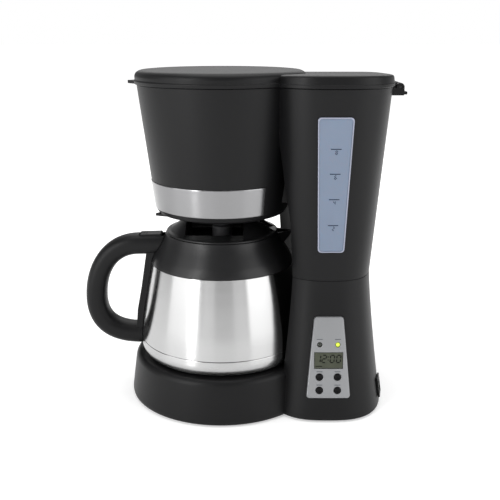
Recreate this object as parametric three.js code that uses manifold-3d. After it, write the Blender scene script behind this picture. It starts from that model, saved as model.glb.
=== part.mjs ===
// Drip coffee maker with a thermal carafe.
// Millimetres, +Z up. The user stands on the -Y side, the carafe handle points to -X.
// Inside this file the brew axis (bucket, carafe and round stand) is x = 0, y = 0, and the water
// column stands at x = columnX. The whole group is shifted at the end, so that the origin is the
// centre of the footprint's box, on the table.
import * as THREE from 'three';
import { mergeVertices } from 'three/addons/utils/BufferGeometryUtils.js';
import Module from 'manifold-3d';

const wasm = await Module();
wasm.setup();

// ---- driving dimensions ----
const gap = 0.3; // clearance between pieces that touch
const wall = 2.6; // moulded wall of the two housings
const roundSides = 32; // facets of the large turned shapes
const smallSides = 12; // facets of pins, screws and buttons

const lidTop = 304.8; // table to the top of the lid disc
const rimZ = 292; // top edge of the upper housing
const waistZ = 127; // seam between the upper and the lower housing
const shellFootZ = 2; // lower edge of the lower housing, above the feet

const columnX = 95.5;
const columnTop = { z: rimZ, halfWidth: 53.5, halfDepth: 76 };
const columnWaist = { halfWidth: 41, halfDepth: 60 };
const columnFoot = { z: 4, halfWidth: 54.8, halfDepth: 79 };
const columnFlare = 1.25; // how late the lower column swells on its way down
const frontRoundness = 2.8; // superellipse exponents of the column's plan
const backRoundness = 7;

const bucketRimRadius = 74.2;
const bucketFootRadius = 60.3;
const bucketFootZ = 178;
const recessRadius = 79.6; // hollow in the column that the carafe stands in

const standRadius = 88.6;
const standTopZ = 42;

const bandLowZ = 183;
const bandHighZ = 208;
const bandEndAngle = THREE.MathUtils.degToRad(52); // the band is open this far on each side of +X

const tankFloorZ = 147;
const gaugeLowZ = 154;
const gaugeHighZ = 270;
const panelLowZ = 22.4;
const panelHighZ = 95.8;

const hingeX = 155.8;
const hingeZ = 290.4;
const hingeTipX = 162;
const knuckleRadius = 3.6;
const bracketLowZ = 283.3;
const handleReach = 130; // brew axis to the outside of the carafe handle

const carafeFootZ = 43;
const jacketLowZ = 58;
const jacketHighZ = 129.2;
const carafeRadius = 78;
const collarFootRadius = 66.3;
const collarTopZ = 157.6;
const lidCrestZ = 163; // top of the carafe lid's boss, under the drip stop
const plungerRadius = 9.3;

// ---- materials ----
const finish = (color, roughness, metalness = 0) =>
  new THREE.MeshStandardMaterial({ color, roughness, metalness });
const blackPlastic = finish(0x2d2d2f, 0.45);
const glossBlack = finish(0x161617, 0.2);
const brushedSteel = finish(0xc9c9cb, 0.32, 1);
const silverPaint = finish(0xc4c6c8, 0.35, 0.6);
const clearPlastic = finish(0x8a9bb5, 0.15);
const innerPlastic = finish(0x3a3a3c, 0.6);
const silicone = finish(0xb9b4aa, 0.7);
const rubber = finish(0x1c1c1d, 0.85);
const aluminium = finish(0xa9abae, 0.4, 1);
const boardGreen = finish(0x2c5b3a, 0.6);
const displayGlass = finish(0x8f917a, 0.15);
const lampDark = finish(0x3a3f34, 0.2);
const lampLit = finish(0xc3dc3a, 0.2);

// ---- from three.js geometry to closed solids and back ----

/** Turns a closed geometry into a solid with its faces outwards. */
function solid(geometry) {
  geometry.deleteAttribute('normal');
  geometry.deleteAttribute('uv');
  const merged = mergeVertices(geometry, 1e-3);
  const position = merged.getAttribute('position');
  const corner = (i) => new THREE.Vector3().fromBufferAttribute(position, i);
  const triangles = [];
  let volume = 0;
  for (let i = 0; i < merged.index.count; i += 3) {
    const [a, b, c] = [0, 1, 2].map((k) => merged.index.getX(i + k));
    if (a === b || b === c || c === a) continue;
    triangles.push(a, b, c);
    volume += corner(a).dot(corner(b).cross(corner(c)));
  }
  if (volume < 0) triangles.reverse();
  return new wasm.Manifold(
    new wasm.Mesh({
      numProp: 3,
      vertProperties: new Float32Array(position.array),
      triVerts: new Uint32Array(triangles),
    }),
  );
}

const join = (first, ...others) => others.reduce((sum, other) => sum.add(other), first);
const cut = (first, ...others) => others.reduce((rest, other) => rest.subtract(other), first);

/** A solid of revolution about Z, from a closed profile of [radius, z] points. */
function turned(profile, sides = roundSides) {
  const points = profile.map(([r, z]) => new THREE.Vector2(r, z));
  const onAxis = profile[0][0] === 0 && profile.at(-1)[0] === 0;
  if (!onAxis) points.push(points[0].clone());
  return solid(new THREE.LatheGeometry(points, sides).rotateX(Math.PI / 2));
}

/** An upright cylinder. */
function drum(radius, lowZ, highZ, x = 0, y = 0, sides = smallSides) {
  const height = highZ - lowZ;
  const geometry = new THREE.CylinderGeometry(radius, radius, height, sides);
  return solid(geometry.rotateX(Math.PI / 2).translate(x, y, (lowZ + highZ) / 2));
}

/** A cylinder whose axis is parallel to Y. */
function roller(radius, lowY, highY, x, z, sides = smallSides) {
  const geometry = new THREE.CylinderGeometry(radius, radius, highY - lowY, sides);
  return solid(geometry.translate(x, (lowY + highY) / 2, z));
}

/** A box from its two extreme corners. */
function block([x0, y0, z0], [x1, y1, z1], frame = new THREE.Matrix4()) {
  const geometry = new THREE.BoxGeometry(x1 - x0, y1 - y0, z1 - z0);
  geometry.translate((x0 + x1) / 2, (y0 + y1) / 2, (z0 + z1) / 2);
  return solid(geometry.applyMatrix4(frame));
}

/** A flat outline, extruded from lowZ to highZ and then placed by a frame. */
function slab(shape, lowZ, highZ, frame = new THREE.Matrix4(), curveSegments = 4) {
  const options = { depth: highZ - lowZ, bevelEnabled: false, curveSegments };
  const geometry = new THREE.ExtrudeGeometry(shape, options).translate(0, 0, lowZ);
  return solid(geometry.applyMatrix4(frame));
}

/** A round rod or hose along a curve. */
function tube(path, radius, steps, sides = 10) {
  const section = new THREE.Shape().absarc(0, 0, radius, 0, 2 * Math.PI);
  const options = { steps, extrudePath: path, curveSegments: sides / 2, bevelEnabled: false };
  return solid(new THREE.ExtrudeGeometry(section, options));
}

/** A polygon whose corners are rounded. */
function roundedPolygon(corners, radius) {
  const shape = new THREE.Shape();
  corners.forEach((corner, i) => {
    const here = new THREE.Vector2(...corner);
    const before = new THREE.Vector2(...corners.at(i - 1));
    const after = new THREE.Vector2(...corners[(i + 1) % corners.length]);
    const start = before.sub(here).setLength(radius).add(here);
    const end = after.sub(here).setLength(radius).add(here);
    if (i === 0) shape.moveTo(start.x, start.y);
    else shape.lineTo(start.x, start.y);
    shape.quadraticCurveTo(here.x, here.y, end.x, end.y);
  });
  shape.closePath();
  return shape;
}

// Stands a shape up on the machine's middle plane: its x stays, its y becomes Z.
const middlePlane = new THREE.Matrix4().makeBasis(
  new THREE.Vector3(1, 0, 0),
  new THREE.Vector3(0, 0, 1),
  new THREE.Vector3(0, -1, 0),
);

/** A wedge about Z that opens to +X, `angle` to each side. */
function wedge(angle, lowZ, highZ) {
  const reach = 120;
  const shape = new THREE.Shape().moveTo(0, 0);
  shape.lineTo(reach * Math.cos(angle), -reach * Math.sin(angle));
  shape.absarc(0, 0, reach, -angle, angle).closePath();
  return slab(shape, lowZ, highZ);
}

/** An upright trapezoid about the origin, narrower or wider at the top. */
function trapezoid(bottomWidth, topWidth, height, radius) {
  const [b, t, h] = [bottomWidth / 2, topWidth / 2, height / 2];
  return roundedPolygon([[-b, -h], [b, -h], [t, h], [-t, h]], radius);
}

const machine = new THREE.Group();

/** Adds a finished solid to the machine as a named mesh. */
function addPiece(name, shape, material) {
  const { vertProperties, triVerts } = shape.getMesh();
  const geometry = new THREE.BufferGeometry();
  geometry.setAttribute('position', new THREE.BufferAttribute(vertProperties, 3));
  geometry.setIndex(new THREE.BufferAttribute(triVerts, 1));
  geometry.computeVertexNormals();
  const mesh = new THREE.Mesh(geometry, material);
  mesh.name = name;
  machine.add(mesh);
}

// ---- the column's plan and the bucket's taper ----

/** Half width and half depth of the column at a height. */
function columnSize(z) {
  const upper = z > waistZ;
  const end = upper ? columnTop : columnFoot;
  const reach = Math.max(0, (z - waistZ) / (end.z - waistZ));
  const swell = upper ? reach : reach ** columnFlare;
  return {
    halfWidth: THREE.MathUtils.lerp(columnWaist.halfWidth, end.halfWidth, swell),
    halfDepth: THREE.MathUtils.lerp(columnWaist.halfDepth, end.halfDepth, swell),
  };
}

/** The column's plan at unit size: a superellipse, squarer at the back. */
function columnOutline() {
  const points = [];
  const count = 32;
  for (let i = 0; i < count; i += 1) {
    const angle = (2 * Math.PI * i) / count;
    const [c, s] = [Math.cos(angle), Math.sin(angle)];
    const power = 2 / (s > 0 ? backRoundness : frontRoundness);
    const x = Math.sign(c) * Math.abs(c) ** power;
    const y = Math.sign(s) * Math.abs(s) ** power;
    points.push(new THREE.Vector2(x, y));
  }
  return new THREE.Shape(points);
}

/** A stretch of the column, inset by lowInset at its foot and highInset at its head. */
function columnSlab(lowZ, highZ, lowInset, highInset = lowInset, steps = 1) {
  const options = { depth: 1, steps, bevelEnabled: false };
  const geometry = new THREE.ExtrudeGeometry(columnOutline(), options);
  const position = geometry.getAttribute('position');
  for (let i = 0; i < position.count; i += 1) {
    const reach = position.getZ(i);
    const z = THREE.MathUtils.lerp(lowZ, highZ, reach);
    const inset = THREE.MathUtils.lerp(lowInset, highInset, reach);
    const size = columnSize(Math.min(z, columnTop.z));
    const x = columnX + position.getX(i) * (size.halfWidth - inset);
    position.setXYZ(i, x, position.getY(i) * (size.halfDepth - inset), z);
  }
  return solid(geometry);
}

const bucketTaper = (bucketRimRadius - bucketFootRadius) / (rimZ - bucketFootZ);
const bucketRadius = (z) => bucketFootRadius + (z - bucketFootZ) * bucketTaper;

/** A frame on the column's front: x to the right, y up the surface, z out of it. */
function frontFrame(lowZ, highZ) {
  const low = new THREE.Vector3(columnX, -columnSize(lowZ).halfDepth, lowZ);
  const high = new THREE.Vector3(columnX, -columnSize(highZ).halfDepth, highZ);
  const across = new THREE.Vector3(1, 0, 0);
  const up = high.clone().sub(low).normalize();
  const out = across.clone().cross(up);
  const centre = low.clone().add(high).multiplyScalar(0.5);
  const frame = new THREE.Matrix4().makeBasis(across, up, out).setPosition(centre);
  return { frame, height: high.distanceTo(low) };
}

// ---- upper housing: bucket, water tank and hinge bracket ----

const gauge = frontFrame(gaugeLowZ, gaugeHighZ);
const gaugeWidthLow = 22.5;
const gaugeWidthHigh = 29.5;
const gaugeShape = (grow) =>
  trapezoid(gaugeWidthLow + 2 * grow, gaugeWidthHigh + 2 * grow, gauge.height + 2 * grow, 3);

const bucketFloorTop = bucketFootZ + 2.6;
const plungerHole = plungerRadius + 2.5;
const pipeRadius = 4.5;
const pipeX = 92;
const pipeY = 30;
const pipeTopZ = 288;
const spigotX = 104;
const spigotY = -20;
const spigotZ = 132;

const recessHeadRadius = 66;
/** The column's hollow for the carafe, wider by `grow`; above the bucket's foot it closes up. */
function recess(lowZ, highRadius, grow = 0) {
  const radius = recessRadius + grow;
  const closedZ = 256;
  return turned([
    [0, lowZ],
    [radius, lowZ],
    [radius, 180],
    [highRadius + grow, closedZ],
    [0, closedZ],
  ]);
}

function upperHousing() {
  const column = cut(columnSlab(waistZ + gap, rimZ, 0), recess(0, recessHeadRadius));
  const bucket = turned([
    [0, bucketFootZ],
    [bucketFootRadius - 4, bucketFootZ],
    [bucketFootRadius - 0.6, bucketFootZ + 2],
    [bucketRadius(bandLowZ - gap), bandLowZ - gap],
    [bucketRimRadius, rimZ],
    [0, rimZ],
  ]);
  const web = block([30, -30, 190], [84, 30, 262]);
  const bracket = join(
    block([145, -22, bracketLowZ], [hingeX + knuckleRadius, 22, bracketLowZ + 2.6]),
    block([hingeX, -22, bracketLowZ + 0.8], [hingeTipX, 22, bracketLowZ + 3.4]),
  );
  const ears = [-22, 14].map((y) =>
    join(
      block([hingeX - knuckleRadius, y, bracketLowZ], [hingeX + knuckleRadius, y + 8, hingeZ]),
      roller(knuckleRadius, y, y + 8, hingeX, hingeZ),
    ),
  );
  const tankCore = turned([
    [0, 0],
    [recessRadius + 2.9, 0],
    [recessRadius + 2.9, 180],
    [bucketRimRadius + 2.8, 256],
    [bucketRimRadius + 2.8, 320],
    [0, 320],
  ]);
  const tank = cut(columnSlab(tankFloorZ, rimZ + 1, wall), tankCore);
  const skirt = cut(columnSlab(waistZ - 1, tankFloorZ - 3, wall), tankCore);
  const bowl = turned([
    [0, bucketFloorTop],
    [bucketRadius(bucketFloorTop) - wall, bucketFloorTop],
    [bucketRadius(rimZ + 1) - wall, rimZ + 1],
    [0, rimZ + 1],
  ]);
  const ledge = turned([[66.4, 267], [66.4, 271.4], [69.9, 271.4], [69.9, 262]]);
  const spigot = drum(5, spigotZ, tankFloorZ - 1, spigotX, spigotY);
  const pipeAngle = Math.atan2(pipeY, pipeX);
  const pipeNotch = new THREE.Matrix4().makeRotationZ(pipeAngle);
  const grooveRadius = (z) => bucketRadius(z) - 0.8;
  const bandGroove = turned([
    [grooveRadius(bandLowZ), bandLowZ - gap],
    [grooveRadius(bandHighZ), bandHighZ + gap],
    [grooveRadius(bandHighZ) + 5, bandHighZ + gap],
    [grooveRadius(bandLowZ) + 5, bandLowZ - gap],
  ]);
  return cut(
    join(cut(join(column, bucket, web, bracket, ...ears), tank, skirt, bowl), ledge, spigot),
    drum(3, spigotZ - 1, tankFloorZ + 1, spigotX, spigotY),
    drum(pipeRadius + 0.5, tankFloorZ - 4, tankFloorZ + 1, pipeX, pipeY),
    drum(plungerHole, bucketFootZ - 1, bucketFloorTop + 1, 0, 0, 24),
    block([60, -6, 282], [92, 6, rimZ + 1], pipeNotch),
    roller(1.6, -23, 23, hingeX, hingeZ),
    roller(knuckleRadius + 0.5, -14, 14, hingeX, hingeZ),
    slab(gaugeShape(gap), -9, 9, gauge.frame),
    cut(bandGroove, wedge(bandEndAngle, bandLowZ - 1, bandHighZ + 1)),
  );
}
addPiece('upper_housing', upperHousing(), blackPlastic);

const pinY = 21.7;
addPiece('hinge_pin', roller(1.3, -pinY, pinY, hingeX, hingeZ), brushedSteel);

// The window fills the wall's thickness; the marks stand on its outer face.
addPiece('gauge_window', slab(gaugeShape(0), -wall, 0.5, gauge.frame), clearPlastic);

// ---- steel band and plate under the bucket ----

function steelBand() {
  const thickness = 0.9;
  const innerRadius = (z) => bucketRadius(z) - 0.5;
  const ring = turned(
    [
      [innerRadius(bandLowZ), bandLowZ],
      [innerRadius(bandLowZ) + thickness, bandLowZ],
      [innerRadius(bandHighZ) + thickness, bandHighZ],
      [innerRadius(bandHighZ), bandHighZ],
    ],
    roundSides,
  );
  const trim = bandEndAngle + 0.006; // clears the groove's ends
  return cut(ring, wedge(trim, bandLowZ - 1, bandHighZ + 1));
}
addPiece('steel_band', steelBand(), brushedSteel);

function bucketPlate() {
  const [low, high] = [175.4, bucketFootZ - gap];
  const disc = turned([[plungerHole, low], [50, low], [53, high], [plungerHole, high]]);
  const tab = new THREE.Shape().moveTo(-50, 9).quadraticCurveTo(-57, 6, -63, 0);
  tab.quadraticCurveTo(-57, -6, -50, -9).closePath();
  const tabFrame = new THREE.Matrix4().makeRotationZ(THREE.MathUtils.degToRad(15));
  return join(disc, slab(tab, low, high, tabFrame));
}
addPiece('bucket_plate', bucketPlate(), blackPlastic);

// ---- brewing parts inside the bucket ----

const basketFloorZ = 184;
function filterBasket() {
  return turned([
    [4.6, basketFloorZ],
    [24, basketFloorZ],
    [59, 262],
    [65, 271.7],
    [68.4, 271.7],
    [68.4, 274.2],
    [63, 274.2],
    [57, 263],
    [23, basketFloorZ + 2],
    [4.6, basketFloorZ + 2],
  ]);
}
addPiece('filter_basket', filterBasket(), innerPlastic);

const sprayZ = 276;
function sprayHead() {
  const dish = turned([
    [0, sprayZ],
    [24, sprayZ],
    [27, sprayZ + 4],
    [12, sprayZ + 6],
    [0, sprayZ + 6],
  ]);
  const socket = block([-8, -8, sprayZ + 5], [9, 8, 293]);
  const holes = [];
  const holeCount = 8;
  for (let i = 0; i < holeCount; i += 1) {
    const angle = (2 * Math.PI * i) / holeCount;
    holes.push(drum(1.5, sprayZ - 1, sprayZ + 8, 16 * Math.cos(angle), 16 * Math.sin(angle), 8));
  }
  return cut(join(dish, socket), ...holes);
}
addPiece('spray_head', sprayHead(), innerPlastic);

/** The rigid pipe: up through the tank, round a bend and across to the spray head. */
function riserPipe() {
  const bend = 16;
  const pipeLowZ = 140.3;
  const toHead = new THREE.Vector3(-pipeX, -pipeY, 0).normalize();
  const corner = new THREE.Vector3(pipeX, pipeY, pipeTopZ);
  const beforeBend = corner.clone().setZ(pipeTopZ - bend);
  const afterBend = corner.clone().addScaledVector(toHead, bend);
  const headEnd = new THREE.Vector3(0, 0, pipeTopZ).addScaledVector(toHead, -12.5);
  const path = new THREE.CurvePath();
  path.add(new THREE.LineCurve3(new THREE.Vector3(pipeX, pipeY, pipeLowZ), beforeBend));
  path.add(new THREE.QuadraticBezierCurve3(beforeBend, corner, afterBend));
  path.add(new THREE.LineCurve3(afterBend, headEnd));
  return tube(path, pipeRadius, 22, 8);
}
addPiece('riser_pipe', riserPipe(), aluminium);

// ---- drip stop: a plunger that the carafe lid lifts ----

const plungerLowZ = lidCrestZ + 0.7;
function dripPlunger() {
  return turned(
    [
      [0, plungerLowZ],
      [plungerRadius - 1, plungerLowZ],
      [plungerRadius, plungerLowZ + 1],
      [plungerRadius, 179.5],
      [3.4, 179.5],
      [3.4, 190],
      [0, 190],
    ],
    24,
  );
}
addPiece('drip_plunger', dripPlunger(), blackPlastic);

const sealZ = basketFloorZ + 2.4;
const seal = [[3.7, sealZ], [7.5, sealZ], [7.5, sealZ + 1.8], [3.7, sealZ + 1.8]];
addPiece('drip_seal', turned(seal, 24), silicone);

// ---- machine lid ----

const lidLowZ = rimZ + 0.4;
const lobeTopZ = 302.6;
const lobeEdgeZ = 301.4;
const lobeOverhang = -1.9;
const lobeFall = new THREE.Matrix4().makeRotationX(-0.0284).setPosition(0, -65, lobeTopZ);

function machineLid() {
  const disc = turned([
    [0, lidLowZ],
    [76.4, lidLowZ],
    [76.4, 295.8],
    [75.8, 296.2],
    [75.8, 299.4],
    [74.6, 302],
    [71.4, 304.2],
    [68, lidTop],
    [0, lidTop],
  ]);
  const fullLobe = join(
    columnSlab(lidLowZ, 295.8, lobeOverhang),
    columnSlab(295.7, lobeEdgeZ, lobeOverhang + 0.6, lobeOverhang + 1.3),
    columnSlab(lobeEdgeZ - 0.1, lobeTopZ, lobeOverhang + 1.3, lobeOverhang + 3.4),
  );
  const lobe = cut(fullLobe, block([20, 0, 0], [200, 170, 20], lobeFall));
  const lip = new THREE.Shape().moveTo(-70, 18).quadraticCurveTo(-77, 9, -83.4, 0);
  lip.quadraticCurveTo(-77, -9, -70, -18).closePath();
  const knuckle = join(
    roller(knuckleRadius, -13.5, 13.5, hingeX, hingeZ),
    block([149.8, -13.5, hingeZ + 0.6], [hingeX, 13.5, hingeZ + knuckleRadius]),
  );
  const discHollow = turned([[0, 280], [72.2, 280], [72.2, 300], [69.6, 302.2], [0, 302.2]]);
  const lobeHollow = columnSlab(lidLowZ - 1, 297, 1.2, 2.8);
  const cavity = join(discHollow, lobeHollow);
  const aboveRim = block([-90, -90, lidLowZ - 1], [150, 90, 320]);
  return cut(
    join(disc, lobe, slab(lip, lidLowZ, 295.4), knuckle),
    cavity.intersect(aboveRim),
    roller(1.6, -14, 14, hingeX, hingeZ),
  );
}
addPiece('machine_lid', machineLid(), blackPlastic);

// ---- lower housing: stand, foot of the column ----

const standRim = [
  [standRadius, shellFootZ],
  [84.5, 34],
  [83.4, 39],
  [81, standTopZ],
];
const plateRadius = 66;
const standCeilingZ = 37.6;

const panel = frontFrame(panelLowZ, panelHighZ);
const panelWidthLow = 39.5;
const panelWidthHigh = 26;
const panelBackZ = -1.2; // back of the panel, below the column's surface
const panelFaceZ = 0.9;
const panelShape = (grow) =>
  trapezoid(panelWidthLow + 2 * grow, panelWidthHigh + 2 * grow, panel.height + 2 * grow, 3.2);
const boardWindow = trapezoid(panelWidthLow - 7, panelWidthHigh - 3, panel.height - 9, 2);

// The rocker switch looks out of the column's right side, a little towards the front.
const switchY = -38;
const switchZ = 17.2;
function sideFrame() {
  const onSurface = (z) => {
    const size = columnSize(z);
    const reach = (1 - Math.abs(switchY / size.halfDepth) ** frontRoundness) ** (1 / frontRoundness);
    return new THREE.Vector3(columnX + reach * size.halfWidth, switchY, z);
  };
  const low = onSurface(switchZ - 10);
  const high = onSurface(switchZ + 10);
  const up = high.clone().sub(low).normalize();
  const size = columnSize(switchZ);
  const centre = low.clone().add(high).multiplyScalar(0.5);
  const slopeX = ((centre.x - columnX) / size.halfWidth) ** (frontRoundness - 1) / size.halfWidth;
  const slopeY = -(Math.abs(switchY / size.halfDepth) ** (frontRoundness - 1)) / size.halfDepth;
  const across = up.clone().cross(new THREE.Vector3(slopeX, slopeY, 0)).normalize();
  return new THREE.Matrix4().makeBasis(across, up, across.clone().cross(up)).setPosition(centre);
}
const switchFrame = sideFrame();
const switchWidth = 12;
const switchHeight = 16;

const glandX = 112;
const glandZ = 24;
const glandRadius = 6.5;

function lowerHousing() {
  const stand = turned([[0, shellFootZ], ...standRim, [0, standTopZ]]);
  const columnSteps = 3;
  const wholeColumn = columnSlab(shellFootZ, waistZ - gap, 0, 0, columnSteps);
  const column = cut(wholeColumn, recess(standTopZ, recessHeadRadius));
  const standHollow = turned([
    [0, 0],
    [standRadius - wall, 0],
    [84.5 - wall, 34],
    [84.5 - wall - 2, standCeilingZ],
    [0, standCeilingZ],
  ]);
  const behindRecess = turned([
    [0, standCeilingZ],
    [recessRadius + wall, standCeilingZ],
    [recessRadius + wall, 180],
    [0, 180],
  ]);
  const innerColumn = columnSlab(shellFootZ, waistZ + 1, wall, wall, columnSteps);
  const openFoot = columnSlab(shellFootZ - 2, shellFootZ + 1, wall);
  const [halfWide, halfHigh] = [switchWidth / 2 + 0.4, switchHeight / 2 + 0.4];
  return cut(
    join(stand, column),
    standHollow,
    cut(innerColumn, behindRecess),
    openFoot,
    drum(plateRadius + 0.4, 40.4, 50, 0, 0, roundSides),
    slab(panelShape(gap), panelBackZ - gap, 12, panel.frame),
    slab(boardWindow, -9, 0, panel.frame),
    block([-halfWide, -halfHigh, -9], [halfWide, halfHigh, 9], switchFrame),
    roller(glandRadius + 0.4, 61, 91, glandX, glandZ),
  );
}
addPiece('lower_housing', lowerHousing(), blackPlastic);

addPiece('carafe_plate', drum(plateRadius, 40.7, 42.6, 0, 0, roundSides), innerPlastic);

const coverLowZ = 4.4;
const coverHighZ = 6.8;
const screwSpots = [[-62, 0], [10, 66], [10, -66], [128, 48]];
const feetSpots = [[-48, -50], [-48, 50], [74, -58], [74, 58], [134, -24]];
function bottomCover() {
  const inset = wall + 1.1;
  const stand = drum(standRadius - inset, coverLowZ, coverHighZ, 0, 0, roundSides);
  const column = columnSlab(coverLowZ, coverHighZ, inset);
  const ventSpots = [-24, -16, -8, 0, 8, 16, 24];
  const vents = ventSpots.map((y) => block([70, y - 1.2, 0], [115, y + 1.2, 20]));
  const screwHoles = screwSpots.map(([x, y]) => drum(1.9, 0, 20, x, y));
  return cut(join(stand, column), ...vents, ...screwHoles);
}
addPiece('bottom_cover', bottomCover(), innerPlastic);

screwSpots.forEach(([x, y], i) => {
  const head = drum(3.2, 2.4, coverLowZ - gap, x, y);
  addPiece(`cover_screw_${i + 1}`, join(head, drum(1.5, 3, 14, x, y)), brushedSteel);
});

feetSpots.forEach(([x, y], i) => {
  const footTopZ = coverLowZ - gap;
  const foot = turned([[0, 0], [7, 0], [8, 1], [8, footTopZ], [0, footTopZ]], smallSides);
  addPiece(`rubber_foot_${i + 1}`, foot.translate([x, y, 0]), rubber);
});

// ---- control panel, in the panel's own frame ----

const lampX = 8;
const lampY = 11.8;
const lampRadius = 2;
const displayY = -2.5;
const displayWidth = 25;
const displayHeight = 14.4;
const buttonRadius = 3.1;
const buttonSpots = {
  button_hour: [-8, -17.5],
  button_minute: [8, -17.5],
  button_program: [-8, -29.6],
  button_auto: [8, -29.6],
};

/** A peg that stands out of the panel. */
function peg(radius, lowZ, highZ, x, y) {
  const geometry = new THREE.CylinderGeometry(radius, radius, highZ - lowZ, smallSides);
  geometry.rotateX(Math.PI / 2).translate(x, y, (lowZ + highZ) / 2);
  return solid(geometry.applyMatrix4(panel.frame));
}

/** A box centred on a spot of the panel. */
function panelBlock(width, height, lowZ, highZ, y) {
  return block([-width / 2, y - height / 2, lowZ], [width / 2, y + height / 2, highZ], panel.frame);
}

function controlPanel() {
  const holeRadius = buttonRadius + 0.35;
  const buttonHoles = Object.values(buttonSpots).map(([x, y]) => peg(holeRadius, -5, 5, x, y));
  const lampHoles = [-lampX, lampX].map((x) => peg(lampRadius + gap, -5, 5, x, lampY));
  return cut(
    slab(panelShape(0), panelBackZ, panelFaceZ, panel.frame),
    panelBlock(displayWidth + 2 * gap, displayHeight + 2 * gap, -5, 5, displayY),
    ...buttonHoles,
    ...lampHoles,
  );
}
addPiece('control_panel', controlPanel(), silverPaint);
addPiece('clock_display', panelBlock(displayWidth, displayHeight, -5.6, 0.6, displayY), displayGlass);
addPiece('lamp_timer', peg(lampRadius, -6, 1.3, -lampX, lampY), lampDark);
addPiece('lamp_ready', peg(lampRadius, -6, 1.3, lampX, lampY), lampLit);
Object.entries(buttonSpots).forEach(([name, [x, y]]) => {
  addPiece(name, peg(buttonRadius, -3.4, 2.2, x, y), glossBlack);
});

function timerBoard() {
  const board = panelBlock(30, panel.height - 12, -8.2, -6.6, -1);
  const keys = Object.values(buttonSpots).map(([x, y]) => peg(1.8, -6.8, -4.9, x, y));
  return join(board, ...keys);
}
addPiece('timer_board', timerBoard(), boardGreen);

// ---- rocker switch, in its own frame ----

const rockerPivotZ = -1.5;
const rockerTilt = 8; // switched off: the upper end stands out
function switchBezel() {
  const centred = (grow, lowZ, highZ) => {
    const [x, y] = [switchWidth / 2 + grow, switchHeight / 2 + grow];
    return block([-x, -y, lowZ], [x, y, highZ], switchFrame);
  };
  return cut(join(centred(1.6, 0.4, 1.8), centred(0, -10, 1)), centred(-1.2, -8.5, 9));
}
addPiece('switch_bezel', switchBezel(), blackPlastic);

/** The rocker: round ends about its pivot, and a face in two slopes that meet at the middle. */
function rocker() {
  const endRadius = switchHeight / 2 - 1.6;
  const endAngle = 0.5;
  const [x, y] = [endRadius * Math.cos(endAngle), endRadius * Math.sin(endAngle)];
  const side = new THREE.Shape().moveTo(-x, -y);
  side.absarc(0, 0, endRadius, Math.PI + endAngle, Math.PI - endAngle, true);
  side.lineTo(0, 2.3).lineTo(x, y);
  side.absarc(0, 0, endRadius, endAngle, -endAngle, true);
  side.closePath();
  const width = switchWidth - 3.2;
  const lie = new THREE.Matrix4().makeBasis(
    new THREE.Vector3(0, 1, 0),
    new THREE.Vector3(0, 0, 1),
    new THREE.Vector3(1, 0, 0),
  );
  lie.setPosition(-width / 2, 0, rockerPivotZ);
  lie.multiply(new THREE.Matrix4().makeRotationZ(THREE.MathUtils.degToRad(rockerTilt)));
  return slab(side, 0, width, switchFrame.clone().multiply(lie), 5);
}
addPiece('rocker', rocker(), glossBlack);

// ---- water and heat, inside the base and the column ----

const heaterZ = 20;
const heaterLeg = 40;
const heaterEndX = 45;
const hoseRadius = 5;
const curve = (...points) => new THREE.CatmullRomCurve3(points.map((p) => new THREE.Vector3(...p)));

addPiece(
  'flow_heater',
  tube(
    curve(
      [heaterEndX, heaterLeg, heaterZ],
      [0, heaterLeg, heaterZ],
      [-heaterLeg * 0.72, heaterLeg * 0.72, heaterZ],
      [-heaterLeg, 0, heaterZ],
      [-heaterLeg * 0.72, -heaterLeg * 0.72, heaterZ],
      [0, -heaterLeg, heaterZ],
      [heaterEndX, -heaterLeg, heaterZ],
    ),
    6,
    26,
    8,
  ),
  aluminium,
);
addPiece('heater_plate', drum(50, 27, 28.6, -4, 0, 32), aluminium);
addPiece('thermostat', drum(9, 19, 26.6, -6, 0), aluminium);
addPiece('thermal_fuse', roller(2.4, -12, 12, 14, 23.8, 10), silicone);
addPiece(
  'cold_water_hose',
  tube(
    curve(
      [spigotX, spigotY, spigotZ - gap],
      [spigotX, spigotY, 110],
      [102, -22, 60],
      [92, -34, 26],
      [70, -heaterLeg, heaterZ],
      [heaterEndX + 0.4, -heaterLeg, heaterZ],
    ),
    hoseRadius,
    22,
    8,
  ),
  silicone,
);
addPiece(
  'hot_water_hose',
  tube(
    curve(
      [heaterEndX + 0.4, heaterLeg, heaterZ],
      [70, heaterLeg, heaterZ],
      [90, 34, 34],
      [pipeX, pipeY, 80],
      [pipeX, pipeY, 140],
    ),
    hoseRadius,
    22,
    8,
  ),
  silicone,
);
addPiece('check_valve', drum(2.6, spigotZ + 1, tankFloorZ + 4, spigotX, spigotY), silicone);

function powerBoard() {
  return join(
    block([108, -14, 12], [140, 34, 13.6]),
    block([112, -8, 13], [126, 10, 28]),
    drum(6, 13, 30, 132, 22),
    block([112, 16, 13], [124, 30, 22]),
  );
}
addPiece('power_board', powerBoard(), boardGreen);

/** The gland guides the mains lead out of the back wall. */
function cableGland() {
  const back = columnSize(glandZ).halfDepth;
  const along = (radius, lowY, highY) => roller(radius, lowY, highY, glandX, glandZ);
  return cut(
    join(along(glandRadius, back - 9, back + 5), along(glandRadius + 1.5, back + 1.9, back + 3.6)),
    along(3.6, back - 10, back + 6),
  );
}
addPiece('cable_gland', cableGland(), rubber);

// ---- thermal carafe ----

const jacketProfile = [
  [carafeRadius - 0.4, jacketLowZ],
  [carafeRadius - 2, 74],
  [73.2, 92],
  [69.7, 112],
  [collarFootRadius, jacketHighZ],
];
const steelWall = 0.8;

function jacket() {
  const inside = jacketProfile.map(([r, z]) => [r - steelWall, z]).reverse();
  return turned([...jacketProfile, ...inside], roundSides);
}
addPiece('carafe_jacket', jacket(), brushedSteel);

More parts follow.
